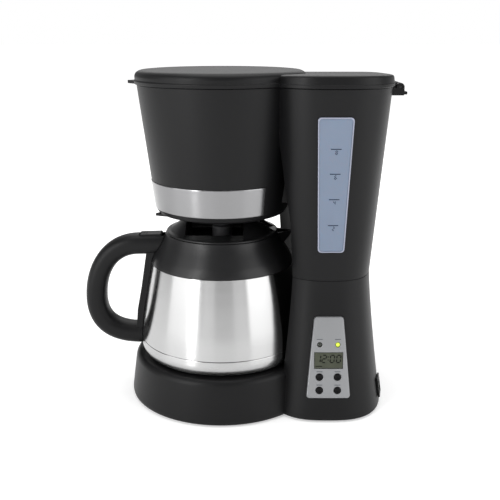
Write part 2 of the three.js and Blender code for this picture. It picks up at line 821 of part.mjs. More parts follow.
function carafeBottom() {
  const seamZ = jacketLowZ - gap;
  return turned(
    [
      [0, carafeFootZ + 1.6],
      [64, carafeFootZ + 1.6],
      [67, carafeFootZ],
      [73, carafeFootZ],
      [76.6, carafeFootZ + 3.5],
      [carafeRadius, 51],
      [carafeRadius - 0.4, seamZ],
      [carafeRadius - 0.4 - steelWall, seamZ],
      [carafeRadius - steelWall, 51.4],
      [73, carafeFootZ + 2.5],
      [0, carafeFootZ + 2.5],
    ],
    roundSides,
  );
}
addPiece('carafe_bottom', carafeBottom(), brushedSteel);

function vacuumFlask() {
  return turned([
    [0, 50],
    [70, 50],
    [73.5, 58],
    [64.4, 122],
    [44.5, 139],
    [44.5, 149],
    [43.7, 149],
    [43.7, 138.5],
    [63.6, 121.5],
    [72.6, 58.2],
    [69.6, 50.8],
    [0, 50.8],
  ]);
}
addPiece('vacuum_flask', vacuumFlask(), brushedSteel);

const collarRimRadius = 52.4;
const collarProfile = [
  [collarFootRadius + 0.2, jacketHighZ + gap],
  [65.8, 132],
  [63.9, 136.4],
  [59.7, 143.4],
  [56, 149.5],
  [53.4, 154.5],
  [collarRimRadius, collarTopZ],
];

function collar() {
  const shoulder = turned([
    ...collarProfile,
    [47.6, collarTopZ],
    [47.6, 150],
    [55, 140.5],
    [61, 133],
    [62.4, jacketHighZ + gap],
  ]);
  const spout = new THREE.Shape().moveTo(46, 147).lineTo(55, 145);
  spout.lineTo(62, 152.6).lineTo(65, 157).lineTo(63, collarTopZ).lineTo(46, collarTopZ).closePath();
  const beak = slab(spout, -10, 10, middlePlane);
  const channel = block([40, -7, 152.5], [70, 7, 170]);
  const bore = drum(47.6, 130, 170, 0, 0, roundSides);
  return cut(join(shoulder, cut(beak, bore)), channel);
}
addPiece('carafe_collar', collar(), blackPlastic);

const domeTopZ = 170.5;
const troughFloorZ = 152;

/** Screw-in lid: a dome with a trough open to the front, a middle boss and a way to the spout. */
function carafeLid() {
  const footOfDomeZ = collarTopZ + 0.4;
  const dome = turned([
    [0, 139],
    [40, 139],
    [41.4, 141],
    [41.4, 150.6],
    [46.4, 150.6],
    [46.4, footOfDomeZ],
    [collarRimRadius - 0.4, footOfDomeZ],
    [collarRimRadius - 1, 159.4],
    [48, 160.2],
    [34.6, domeTopZ - 1.4],
    [32.8, domeTopZ],
    [0, domeTopZ],
  ]);
  const trough = join(
    block([-32, -60, 159.6], [20, 26, domeTopZ + 5]),
    block([-32, -28, troughFloorZ], [20, 26, domeTopZ + 5]),
  );
  const wayToSpout = block([0, -11, 160], [60, 11, domeTopZ + 5]);
  const boss = drum(plungerRadius, troughFloorZ - 1, lidCrestZ, 0, 0, 24);
  return join(cut(dome, trough, wayToSpout), boss);
}
addPiece('carafe_lid', carafeLid(), blackPlastic);

const gasket = [[41.8, 145], [43.1, 145], [43.1, 148], [41.8, 148]];
addPiece('lid_gasket', turned(gasket, 32), silicone);

// ---- carafe handle and its thumb lever ----

const handleWidth = 24;
const leverStartX = -77;
const leverPivotX = -60;
const leverTopZ = 155.6;
const leverWidth = 14;

/** The grip's middle line, from the collar round to the foot of the jacket. */
function gripPath() {
  const path = new THREE.CurvePath();
  const outerX = -(handleReach - 9.2);
  const at = (x, z) => new THREE.Vector3(x, 0, z);
  path.add(new THREE.LineCurve3(at(-48, 145.6), at(-80, 145)));
  path.add(new THREE.CubicBezierCurve3(at(-80, 145), at(-107, 144), at(outerX, 119), at(outerX, 92)));
  path.add(new THREE.CubicBezierCurve3(at(outerX, 92), at(outerX, 66), at(-104, 56.6), at(-80, 56.4)));
  path.add(new THREE.LineCurve3(at(-80, 56.4), at(-70, 56.4)));
  return path;
}

function handle() {
  const grip = new THREE.Shape();
  const [halfThick, halfWide] = [9.6, handleWidth / 2];
  const count = 12;
  for (let i = 0; i < count; i += 1) {
    const angle = (2 * Math.PI * (i + 0.5)) / count;
    const [c, s] = [Math.cos(angle), Math.sin(angle)];
    const x = halfWide * Math.sign(c) * Math.abs(c) ** 0.75;
    const y = halfThick * Math.sign(s) * Math.abs(s) ** 0.75;
    if (i === 0) grip.moveTo(x, y);
    else grip.lineTo(x, y);
  }
  grip.closePath();
  const options = { steps: 22, extrudePath: gripPath(), bevelEnabled: false };
  const loop = solid(new THREE.ExtrudeGeometry(grip, options));
  const strip = new THREE.Shape().moveTo(-60, 150).lineTo(-69.6, 146).lineTo(-71.6, 134);
  strip.lineTo(-76.6, 104).lineTo(-81, 82).lineTo(-82.8, 62).lineTo(-70, 58).closePath();
  const backStrip = slab(strip, -9, 9, middlePlane);
  const clear = 0.4;
  const vessel = turned([
    [0, 30],
    [carafeRadius + clear, 30],
    [carafeRadius + clear, 51],
    ...jacketProfile.map(([r, z]) => [r + clear, z]),
    ...collarProfile.slice(0, -1).map(([r, z]) => [r + clear, z]),
    [collarRimRadius + clear, 170],
    [0, 170],
  ]);
  const notchHalf = leverWidth / 2 + 0.5;
  const notch = block([leverStartX - 0.6, -notchHalf, 148.5], [-40, notchHalf, 170]);
  return cut(join(loop, backStrip), vessel, notch);
}
addPiece('carafe_handle', handle(), blackPlastic);

function thumbLever() {
  const corners = [
    [leverStartX, 151.6],
    [leverPivotX + 3, 151.2],
    [leverPivotX + 3.6, leverTopZ],
    [leverStartX, leverTopZ - 0.6],
  ];
  const side = roundedPolygon(corners, 0.9);
  return slab(side, -leverWidth / 2, leverWidth / 2, middlePlane);
}
addPiece('thumb_lever', thumbLever(), blackPlastic);

// The footprint's box runs from the handle to the tip of the hinge bracket.
machine.position.x = (handleReach - hingeTipX) / 2;

export default machine;
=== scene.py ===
"""Drip coffee maker with a thermal carafe: the visible pieces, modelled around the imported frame.

Pieces are drawn in millimetres about the brew axis, the upright line through the bucket, the
carafe and the round stand. `finished` then puts them in the frame, in metres.
"""

import math

import bmesh
import bpy
from mathutils import Matrix, Vector


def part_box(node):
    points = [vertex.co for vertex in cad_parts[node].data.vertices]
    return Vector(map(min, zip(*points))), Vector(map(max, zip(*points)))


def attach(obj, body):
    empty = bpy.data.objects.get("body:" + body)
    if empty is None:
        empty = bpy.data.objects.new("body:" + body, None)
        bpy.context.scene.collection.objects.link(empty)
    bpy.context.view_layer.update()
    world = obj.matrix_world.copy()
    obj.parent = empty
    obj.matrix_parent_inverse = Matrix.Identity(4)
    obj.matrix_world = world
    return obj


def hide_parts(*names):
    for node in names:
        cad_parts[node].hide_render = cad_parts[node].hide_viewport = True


bl_info = {
    "name": "Drip coffee maker",
    "version": (1, 0, 0),
    "blender": (4, 5, 0),
    "location": "View3D > Sidebar > Coffee",
    "description": "Builds a drip coffee maker with a thermal carafe around its frame",
    "category": "Add Mesh",
}

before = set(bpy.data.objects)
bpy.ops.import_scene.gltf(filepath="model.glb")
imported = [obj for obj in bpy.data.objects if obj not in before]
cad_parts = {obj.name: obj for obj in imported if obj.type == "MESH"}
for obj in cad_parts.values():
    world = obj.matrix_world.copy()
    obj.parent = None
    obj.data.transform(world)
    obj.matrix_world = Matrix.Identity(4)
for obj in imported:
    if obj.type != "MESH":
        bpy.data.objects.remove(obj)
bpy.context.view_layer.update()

MM = 0.001
PLATE_LOW, PLATE_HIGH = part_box("carafe_plate")
AXIS_X = (PLATE_LOW.x + PLATE_HIGH.x) / 2
PLACE = Matrix.Translation((AXIS_X, 0, 0)) @ Matrix.Scale(MM, 4)

ROUND_STEPS = 160
SMALL_STEPS = 48
COLUMN_STEPS = 192

# The thickness of printed marks, and the values that the noise in a finish runs between.
INK = 0.08
NOISE_LOW, NOISE_HIGH = 0.3, 0.7

RIM_Z = 292.0
WAIST_Z = 127.0
COLUMN_FOOT_Z = 4.0
SHELL_FOOT_Z = 2.0
COLUMN_X = 95.5
WAIST_WIDTH, WAIST_DEPTH = 41.0, 60.0
RIM_WIDTH, RIM_DEPTH = 53.5, 76.0
FOOT_WIDTH, FOOT_DEPTH = 54.8, 79.0
FOOT_FLARE = 1.25
FRONT_ROUNDNESS = 2.8
BACK_ROUNDNESS = 7.0
WALL = 2.6
BUCKET_FOOT_Z = 178.0
BUCKET_FOOT_RADIUS = 60.3
BUCKET_RIM_RADIUS = 74.2
RECESS_RADIUS = 79.6
BAND_END = math.radians(52)
STAND_TOP_Z = 42.0
HINGE_X, HINGE_Z, HINGE_TIP_X, HINGE_FOOT_Z = 155.8, 290.4, 162.0, 283.3
HINGE_HALF, EAR_THICKNESS = 22, 8
KNUCKLE_RADIUS, PIN_RADIUS = 3.6, 1.5
GLAND_X, GLAND_Z = 112.0, 24.0
SWITCH_Y, SWITCH_Z = -38.0, 17.2
LOBE_FALL = 0.0284
PANEL_CROWN, PANEL_REACH = 0.6, 17
HANDLE_X, HANDLE_SQUARENESS = -120.8, 0.78

# Lays a plate drawn in x and z on its side, so that its thickness runs along y.
SIDEWAYS = Matrix(((1, 0, 0, 0), (0, 0, -1, 0), (0, 1, 0, 0), (0, 0, 0, 1)))
# Turns a plate drawn in y and z upright, so that its thickness runs along x.
UPRIGHT = Matrix(((0, 0, 1, 0), (1, 0, 0, 0), (0, 1, 0, 0), (0, 0, 0, 1)))


# ---- settings that a user may change ----


class CoffeeMakerSettings(bpy.types.PropertyGroup):
    """Sizes and colours of the coffee maker."""

    shell_colour: bpy.props.StringProperty(
        name="Shell colour",
        description="Colour of the moulded plastic, as sRGB hex",
        default="#0E0E0F",
    )
    gauge_colour: bpy.props.StringProperty(
        name="Gauge colour",
        description="Colour of the water window, as sRGB hex",
        default="#616E82",
    )
    panel_colour: bpy.props.StringProperty(
        name="Panel colour",
        description="Colour of the clock panel, as sRGB hex",
        default="#8C8D8F",
    )
    edge_radius: bpy.props.FloatProperty(
        name="Edge radius",
        description="Rounding of the small moulded edges, in mm",
        default=0.5,
        min=0.1,
        max=1.5,
    )
    band_low: bpy.props.FloatProperty(
        name="Band foot",
        description="Height of the steel band's lower edge, in mm",
        default=183.0,
    )
    band_high: bpy.props.FloatProperty(
        name="Band head",
        description="Height of the steel band's upper edge, in mm",
        default=208.0,
    )
    camera_lens: bpy.props.FloatProperty(
        name="Lens",
        description="Focal length of the camera",
        default=54.72,
        subtype="DISTANCE_CAMERA",
    )


def settings():
    """The values in the sidebar."""
    return bpy.context.scene.coffee_maker


# ---- meshes ----


def rounded(bm, parts, radius, affect="EDGES", segments=3):
    """Rounds edges, or the corners of a flat outline."""
    bmesh.ops.bevel(
        bm,
        geom=parts,
        offset=radius,
        segments=segments,
        profile=0.5,
        affect=affect,
        material=-1,
    )


def wire(bm, points, closed=True):
    """A chain of edges through [x, z] or [x, z, fillet] points, with its corners rounded."""
    verts = [bm.verts.new((p[0], 0, p[1])) for p in points]
    pairs = list(zip(verts, verts[1:])) + ([(verts[-1], verts[0])] if closed else [])
    for first, second in pairs:
        bm.edges.new((first, second))
    for vert, point in zip(verts, points):
        if len(point) > 2:
            rounded(bm, [vert], point[2], "VERTICES", 5)


def turned(points, steps=ROUND_STEPS, angle=2 * math.pi, start=0.0):
    """A closed profile of [radius, z] points, spun about the brew axis."""
    bm = bmesh.new()
    on_axis = points[0][0] == 0 and points[-1][0] == 0
    wire(bm, points, closed=not on_axis)
    bmesh.ops.rotate(bm, cent=(0, 0, 0), matrix=Matrix.Rotation(start, 3, "Z"), verts=bm.verts)
    whole = angle > 6.28
    if not whole:
        bmesh.ops.contextual_create(bm, geom=bm.edges[:])
    bmesh.ops.spin(
        bm,
        geom=bm.verts[:] + bm.edges[:] + bm.faces[:],
        cent=(0, 0, 0),
        axis=(0, 0, 1),
        dvec=(0, 0, 0),
        angle=angle,
        steps=steps,
        use_merge=whole,
    )
    bmesh.ops.remove_doubles(bm, verts=bm.verts, dist=1e-4)
    bmesh.ops.recalc_face_normals(bm, faces=bm.faces)
    return bm


def drum(radius, low_z, high_z, steps=ROUND_STEPS):
    """A cylinder about the brew axis."""
    return turned([(0, low_z), (radius, low_z), (radius, high_z), (0, high_z)], steps)


def at(x, y, z=0):
    """A shift from the origin."""
    return Matrix.Translation((x, y, z))


def moved(bm, matrix):
    """The same mesh, transformed."""
    bmesh.ops.transform(bm, matrix=matrix, verts=bm.verts)
    return bm


def block(low, high, bevel=0.0, frame=None):
    """A box from its two extreme corners, with its edges rounded."""
    low, high = Vector(low), Vector(high)
    bm = bmesh.new()
    bmesh.ops.create_cube(bm, size=1.0)
    bmesh.ops.scale(bm, vec=high - low, verts=bm.verts)
    bmesh.ops.translate(bm, vec=(low + high) / 2, verts=bm.verts)
    if bevel:
        rounded(bm, bm.edges[:], bevel)
    return moved(bm, frame) if frame else bm


def roller(radius, low_y, high_y, x, z, bevel=0.0):
    """A cylinder along Y."""
    bm = bmesh.new()
    bmesh.ops.create_cone(
        bm,
        cap_ends=True,
        segments=SMALL_STEPS,
        radius1=radius,
        radius2=radius,
        depth=high_y - low_y,
    )
    if bevel:
        ends = [e for e in bm.edges if any(len(f.verts) > 4 for f in e.link_faces)]
        rounded(bm, ends, bevel)
    over = Matrix.Rotation(math.pi / 2, 3, "X")
    bmesh.ops.rotate(bm, cent=(0, 0, 0), matrix=over, verts=bm.verts)
    bmesh.ops.translate(bm, vec=(x, (low_y + high_y) / 2, z), verts=bm.verts)
    return bm


def plate(corners, low_z, high_z, fillet, bevel=0.0, frame=None):
    """A flat outline of [x, y] corners, raised from low_z to high_z."""
    bm = bmesh.new()
    bm.faces.new([bm.verts.new((x, y, low_z)) for x, y in corners])
    if fillet:
        rounded(bm, bm.verts[:], fillet, "VERTICES", 6)
    raised = bmesh.ops.extrude_face_region(bm, geom=bm.faces[:])["geom"]
    top = [g for g in raised if isinstance(g, bmesh.types.BMVert)]
    bmesh.ops.translate(bm, vec=(0, 0, high_z - low_z), verts=top)
    bmesh.ops.recalc_face_normals(bm, faces=bm.faces)
    if bevel:
        rim = [e for e in bm.edges if all(abs(v.co.z - high_z) < 1e-5 for v in e.verts)]
        rounded(bm, rim, bevel)
    return moved(bm, frame) if frame else bm


def rectangle(low_x, low_y, high_x, high_y):
    """The corners of a rectangle."""
    return [(low_x, low_y), (high_x, low_y), (high_x, high_y), (low_x, high_y)]


def squared(value, power):
    """A cosine or a sine that is drawn out, which makes a circle squarer."""
    return math.copysign(abs(value) ** power, value)


def drawn_up(bm, face):
    """Extrudes a face one unit up. An earlier face stays only where it closes the foot."""
    inner = any(len(edge.link_faces) > 1 for edge in face.edges)
    raised = bmesh.ops.extrude_face_region(bm, geom=[face])["geom"]
    verts = [g for g in raised if isinstance(g, bmesh.types.BMVert)]
    bmesh.ops.translate(bm, vec=(0, 0, 1), verts=verts)
    if inner:
        bmesh.ops.delete(bm, geom=[face], context="FACES_ONLY")
    return next(g for g in raised if isinstance(g, bmesh.types.BMFace)), verts


def swept(stations, section):
    """A closed section carried along stations of (centre, across, normal)."""
    bm = bmesh.new()
    bmesh.ops.create_circle(bm, cap_ends=True, segments=len(section), radius=1)
    face = bm.faces[:][0]
    rings = [bm.verts[:]]
    for _ in stations[1:]:
        face, new = drawn_up(bm, face)
        follow = []
        for vert in rings[-1]:
            ends = [edge.other_vert(vert) for edge in vert.link_edges]
            follow.append(next(end for end in ends if end in new))
        rings.append(follow)
    for (centre, across, normal), loop in zip(stations, rings):
        for vert, (u, w) in zip(loop, section):
            vert.co = centre + across * u + normal * w
    bmesh.ops.recalc_face_normals(bm, faces=bm.faces)
    return bm


def combined(first, second, operation):
    """The union, difference or intersection of two closed meshes."""
    objects = []
    for bm in (first, second):
        mesh = bpy.data.meshes.new("part")
        bm.to_mesh(mesh)
        bm.free()
        part = bpy.data.objects.new("part", mesh)
        bpy.context.scene.collection.objects.link(part)
        objects.append(part)
    target, tool = objects
    modifier = target.modifiers.new("combine", "BOOLEAN")
    modifier.operation = operation
    modifier.solver = "EXACT"
    modifier.object = tool
    graph = bpy.context.evaluated_depsgraph_get()
    result = bmesh.new()
    result.from_mesh(target.evaluated_get(graph).to_mesh())
    for part in objects:
        mesh = part.data
        bpy.data.objects.remove(part)
        bpy.data.meshes.remove(mesh)
    bmesh.ops.remove_doubles(result, verts=result.verts, dist=1e-4)
    bmesh.ops.dissolve_degenerate(result, edges=result.edges, dist=1e-4)
    return result


def joined(first, *others):
    """The union of closed meshes."""
    for other in others:
        first = combined(first, other, "UNION")
    return first


def cut(first, *others):
    """A closed mesh less the others."""
    for other in others:
        first = combined(first, other, "DIFFERENCE")
    return first


def gathered(*parts):
    """Separate meshes as one, for pieces that only touch."""
    whole = bmesh.new()
    for bm in parts:
        mesh = bpy.data.meshes.new("part")
        bm.to_mesh(mesh)
        bm.free()
        whole.from_mesh(mesh)
        bpy.data.meshes.remove(mesh)
    return whole


def finished(name, bm, material, replaces="", body="machine", sharp=32):
    """Puts a mesh in the frame as a piece on a body. It may take the place of a node."""
    moved(bm, PLACE)
    mesh = bpy.data.meshes.new(name)
    bm.to_mesh(mesh)
    bm.free()
    mesh.polygons.foreach_set("use_smooth", [True] * len(mesh.polygons))
    mesh.set_sharp_from_angle(angle=math.radians(sharp))
    mesh.materials.append(material)
    piece = bpy.data.objects.new(name, mesh)
    bpy.context.scene.collection.objects.link(piece)
    shading = piece.modifiers.new("weighted_normal", "WEIGHTED_NORMAL")
    shading.keep_sharp = True
    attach(piece, body)
    if replaces:
        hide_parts(replaces)


# ---- the column and the bucket ----


def column_half_sizes(z):
    """Half width and half depth of the column at a height: it is narrowest at the waist."""
    upper = z > WAIST_Z
    if upper:
        end_z, end_width, end_depth = RIM_Z, RIM_WIDTH, RIM_DEPTH
    else:
        end_z, end_width, end_depth = COLUMN_FOOT_Z, FOOT_WIDTH, FOOT_DEPTH
    reach = max(0.0, (min(z, RIM_Z) - WAIST_Z) / (end_z - WAIST_Z))
    swell = reach if upper else reach**FOOT_FLARE
    return (
        WAIST_WIDTH + (end_width - WAIST_WIDTH) * swell,
        WAIST_DEPTH + (end_depth - WAIST_DEPTH) * swell,
    )


def column_loft(levels):
    """The column between [z, inset] levels; its plan is a superellipse, squarer at the back."""
    bm = bmesh.new()
    bmesh.ops.create_circle(bm, cap_ends=True, segments=COLUMN_STEPS, radius=1)
    face = bm.faces[:][0]
    for _ in levels[1:]:
        face, _ = drawn_up(bm, face)
    for vert in bm.verts:
        z, inset = levels[round(vert.co.z)]
        half_width, half_depth = column_half_sizes(z)
        angle = math.atan2(vert.co.y, vert.co.x)
        c, s = math.cos(angle), math.sin(angle)
        power = 2 / (BACK_ROUNDNESS if s > 0 else FRONT_ROUNDNESS)
        vert.co = (
            COLUMN_X + squared(c, power) * (half_width - inset),
            squared(s, power) * (half_depth - inset),
            z,
        )
    bmesh.ops.recalc_face_normals(bm, faces=bm.faces)
    return bm


def column_levels(low, high, inset, steps=1, round_low=0.0):
    """Levels from low to high at one inset, with the lower edge rounded."""
    levels = []
    if round_low:
        levels = [[low, inset + round_low], [low + 0.3 * round_low, inset + 0.3 * round_low]]
        low += round_low
    return levels + [[low + (high - low) * i / steps, inset] for i in range(steps + 1)]


def bucket_radius(z):
    """The outer radius of the bucket at a height."""
    taper = (BUCKET_RIM_RADIUS - BUCKET_FOOT_RADIUS) / (RIM_Z - BUCKET_FOOT_Z)
    return BUCKET_FOOT_RADIUS + (z - BUCKET_FOOT_Z) * taper


def front_frame(low_z, high_z):
    """A frame on the column's front: x to the right, y up the surface, z out of it."""
    low = Vector((COLUMN_X, -column_half_sizes(low_z)[1], low_z))
    high = Vector((COLUMN_X, -column_half_sizes(high_z)[1], high_z))
    across, up = Vector((1, 0, 0)), (high - low).normalized()
    frame = Matrix((across, up, across.cross(up))).transposed().to_4x4()
    frame.translation = (low + high) / 2
    return frame, (high - low).length


def trapezoid(bottom, top, height, grow=0.0):
    """The corners of a symmetrical outline, grown on every side."""
    b, t, h = bottom / 2 + grow, top / 2 + grow, height / 2 + grow
    return [(-b, -h), (b, -h), (t, h), (-t, h)]


GAUGE_FRAME, GAUGE_HEIGHT = front_frame(154.0, 270.0)
PANEL_FRAME, PANEL_HEIGHT = front_frame(22.4, 95.8)


def gauge_outline(grow=0.0):
    """The corners of the water window."""
    return trapezoid(22.5, 29.5, GAUGE_HEIGHT, grow)


def panel_outline(grow=0.0):
    """The corners of the clock panel."""
    return trapezoid(39.5, 26.0, PANEL_HEIGHT, grow)


def crowned(bm, low_z=0.5):
    """Bulges the panel's outer face across its width, once it is sliced finely enough to bend."""
    for i in range(-8, 9):
        bmesh.ops.bisect_plane(
            bm,
            geom=bm.verts[:] + bm.edges[:] + bm.faces[:],
            plane_co=(2.3 * i, 0, 0),
            plane_no=(1, 0, 0),
        )
    for vert in bm.verts:
        if vert.co.z > low_z:
            vert.co.z += PANEL_CROWN * max(0.0, 1 - (vert.co.x / PANEL_REACH) ** 2)
    return bm


# ---- materials ----


def linear(hex_code):
    """An sRGB hex colour as linear RGBA."""
    channels = [int(hex_code[i : i + 2], 16) / 255 for i in (1, 3, 5)]
    return [c / 12.92 if c <= 0.04045 else ((c + 0.055) / 1.055) ** 2.4 for c in channels] + [1.0]


def add_node(tree, kind, inputs=(), **properties):
    """Adds a node. Inputs maps a socket to a value or to another node's output."""
    node = tree.nodes.new(kind)
    for key, value in properties.items():
        setattr(node, key, value)
    for socket, value in dict(inputs).items():
        if isinstance(value, bpy.types.NodeSocket):
            tree.links.new(value, node.inputs[socket])
        else:
            node.inputs[socket].default_value = value
    return node


def finish(name, colour, roughness, grain=None, tint=0.0, bevel=0.0, **sockets):
    """A Principled material. Grain is its spacing along x, y and z in mm, its depth in mm and
    the swing of the roughness over it.
    """
    made = bpy.data.materials.get(name)
    if made:
        return made
    made = bpy.data.materials.new(name)
    made.use_nodes = True
    tree = made.node_tree
    shader = tree.nodes["Principled BSDF"]
    shader.inputs["Base Color"].default_value = linear(colour)
    shader.inputs["Roughness"].default_value = roughness
    for socket, value in sockets.items():
        shader.inputs[socket.replace("_", " ")].default_value = value
    normal = None
    if bevel:
        edge = add_node(tree, "ShaderNodeBevel", {"Radius": bevel * MM}, samples=6)
        normal = edge.outputs["Normal"]
    if grain:
        spacing, depth, swing = grain
        place = add_node(tree, "ShaderNodeTexCoord").outputs["Object"]
        scale = {"Vector": place, "Scale": [1 / (step * MM) for step in spacing]}
        scaled = add_node(tree, "ShaderNodeMapping", scale).outputs["Vector"]
        pattern = {"Vector": scaled, "Scale": 1.0, "Detail": 3.0}
        noise = add_node(tree, "ShaderNodeTexNoise", pattern).outputs["Fac"]
        span = {
            "Value": noise,
            "From Min": NOISE_LOW,
            "From Max": NOISE_HIGH,
            "To Min": roughness - swing,
            "To Max": roughness + swing,
        }
        rough = add_node(tree, "ShaderNodeMapRange", span)
        tree.links.new(rough.outputs["Result"], shader.inputs["Roughness"])
        bump_inputs = {"Height": noise, "Distance": depth * MM, "Strength": 1.0}
        if normal:
            bump_inputs["Normal"] = normal
        normal = add_node(tree, "ShaderNodeBump", bump_inputs).outputs["Normal"]
        if tint:
            dark = [c * (1 - tint) for c in linear(colour)[:3]] + [1.0]
            light = [min(1.0, c * (1 + tint)) for c in linear(colour)[:3]] + [1.0]
            # The mix node's colour sockets are inputs 6 and 7 and output 2.
            blend = {"Factor": noise, 6: dark, 7: light}
            mixed = add_node(tree, "ShaderNodeMix", blend, data_type="RGBA")
            tree.links.new(mixed.outputs[2], shader.inputs["Base Color"])
    if normal:
        tree.links.new(normal, shader.inputs["Normal"])
    return made


def moulded_polypropylene():
    # Injection-moulded black plastic with a spark-eroded grain: dark, with wide soft highlights.
    # The real grain is about 0.1 mm and is drawn as 0.9 mm, so that it shows.
    return finish(
        "moulded_polypropylene", settings().shell_colour, 0.42,
        grain=((0.9, 0.9, 0.9), 0.006, 0.04), tint=0.08, bevel=settings().edge_radius, IOR=1.49,
        Specular_IOR_Level=0.19,
    )


def satin_polypropylene():
    # The carafe's fittings come from a smoother tool: satin, with clearer highlights.
    return finish(
        "satin_polypropylene", "#141415", 0.34, grain=((1.2, 1.2, 1.2), 0.003, 0.03), tint=0.08,
        bevel=settings().edge_radius, IOR=1.49, Specular_IOR_Level=0.32,
    )


def inner_polypropylene():
    # The same plastic from an unpolished tool: greyer and duller, for the inner parts. On the drip
    # valve's plunger and the stopper's boss this paler grey is painted light: it lightens them
    # where they stand in the shade under the bucket.
    return finish(
        "inner_polypropylene", "#3A3A3C", 0.6, grain=((1.2, 1.2, 1.2), 0.01, 0.06), tint=0.1,
        IOR=1.49,
    )


def polished_abs():
    # Polished black ABS of the keys, the rocker and its surround: small clear highlights.
    return finish(
        "polished_abs", "#050506", 0.3, grain=((3, 3, 3), 0.002, 0.04), bevel=0.2, IOR=1.54,
        Specular_IOR_Level=0.12,
    )


def brushed_stainless(name="brushed_stainless", colour="#B8B8B8"):
    # Stainless sheet brushed round the vessel. Its level lines stretch every reflection upright.
    # Real lines are about 0.3 mm apart, and they are drawn 1 mm apart, so that they show.
    made = finish(
        name, colour, 0.25, grain=((60.0, 60.0, 1.0), 0.0003, 0.02), tint=0.04, Metallic=1.0,
        Anisotropic=0.9,
    )
    tree = made.node_tree
    tangent = tree.nodes["Principled BSDF"].inputs["Tangent"]
    if not tangent.is_linked:
        upright = add_node(tree, "ShaderNodeCombineXYZ", {"Z": 1.0})
        tree.links.new(upright.outputs["Vector"], tangent)
    return made


def band_stainless():
    # The bucket's band is the same sheet from a duller coil.
    return brushed_stainless("band_stainless", "#8A8A8B")


def plain_stainless():
    # Bright steel of the screws.
    grain = ((0.5, 0.5, 0.5), 0.002, 0.06)
    return finish("plain_stainless", "#B9B9BA", 0.3, grain=grain, Metallic=1.0)


def blackened_steel():
    # Steel pin under black oxide: dark, with a faint gloss.
    grain = ((0.5, 0.5, 0.5), 0.002, 0.06)
    return finish("blackened_steel", "#2A2A2B", 0.4, grain=grain, Metallic=0.8)


def frosted_styrene():
    # Translucent styrene window, back-lit by the pale tank: milky, with a polished outer face.
    return finish(
        "frosted_styrene", settings().gauge_colour, 0.22, grain=((14, 14, 30), 0.004, 0.05),
        tint=0.05, bevel=0.5, IOR=1.59, Subsurface_Weight=0.15, Subsurface_Scale=0.004,
    )


def clear_styrene():
    # The window's thick moulded rim, with a faint lilac cast. It is painted paler than its frosted
    # face: a painted highlight for the light that its edges catch.
    return finish(
        "clear_styrene", "#868A9A", 0.18, grain=((9, 9, 22), 0.003, 0.04), tint=0.12, bevel=0.3,
        IOR=1.59,
    )


def silver_lacquer():
    # Silver lacquer on plastic: fine flakes about 0.1 mm, drawn 0.5 mm.
    return finish(
        "silver_lacquer", settings().panel_colour, 0.34, grain=((0.5, 0.5, 0.5), 0.001, 0.05),
        tint=0.06, bevel=0.3, Metallic=0.75,
    )


def printed_ink(name="printed_ink", colour="#1B2638"):
    # Pad-printed ink: matt and slightly uneven.
    return finish(
        name, colour, 0.55, grain=((0.3, 0.3, 0.3), 0.001, 0.08), tint=0.1, IOR=1.5,
        Specular_IOR_Level=0.1,
    )


def display_glass():
    # Liquid crystal behind glass: olive grey, with a hard gloss.
    return finish(
        "display_glass", "#404338", 0.16, grain=((7, 7, 7), 0.0005, 0.03), tint=0.3, IOR=1.52,
        Specular_IOR_Level=0.15,
    )


def lit_lens():
    # Moulded acrylic lens with its lamp on.
    return finish(
        "lit_lens", "#C6DC3E", 0.15, grain=((1, 1, 1), 0.002, 0.03), IOR=1.49,
        Emission_Color=linear("#D8F04A"), Emission_Strength=0.22,
    )


def dark_lens():
    # The same lens with its lamp off.
    return finish("dark_lens", "#22261F", 0.15, grain=((1, 1, 1), 0.002, 0.03), IOR=1.49)


def nitrile_rubber():
    # Matt rubber with a faint bloom.
    grain = ((1.5, 1.5, 1.5), 0.02, 0.08)
    return finish("nitrile_rubber", "#161617", 0.78, grain=grain, tint=0.15, IOR=1.52)


def milky_silicone():
    # Food-grade silicone hose and seals: milky and slightly waxy.
    return finish(
        "milky_silicone", "#C4C0B6", 0.45, grain=((2, 2, 2), 0.01, 0.05), tint=0.05, IOR=1.43,
        Subsurface_Weight=0.2, Subsurface_Scale=0.002,
    )


def cast_aluminium():
    # Extruded and pressed aluminium of the heater.
    grain = ((0.7, 0.7, 4), 0.01, 0.08)
    return finish("cast_aluminium", "#A6A8AA", 0.42, grain=grain, tint=0.08, Metallic=1.0)


def coated_plate():
    # Dark non-stick enamel on the plate the carafe stands on.
    grain = ((0.6, 0.6, 0.6), 0.012, 0.06)
    return finish("coated_plate", "#1A1A1B", 0.38, grain=grain, tint=0.2, IOR=1.6)


def turned_brass():
    # Brass fittings with tool marks.
    grain = ((0.4, 0.4, 0.4), 0.004, 0.06)
    return finish("turned_brass", "#B79A56", 0.3, grain=grain, tint=0.05, Metallic=1.0)


def solder_mask():
    # Green lacquer over copper tracks.
    grain = ((2.5, 1.2, 2.5), 0.02, 0.06)
    return finish("solder_mask", "#1F5A36", 0.35, grain=grain, tint=0.25, IOR=1.55)


def silvered_glass():
    # Vacuum flask: glass silvered on the inside.
    grain = ((12, 12, 12), 0.01, 0.02)
    return finish("silvered_glass", "#D8DADC", 0.08, grain=grain, tint=0.03, Metallic=0.9)


# ---- operators ----


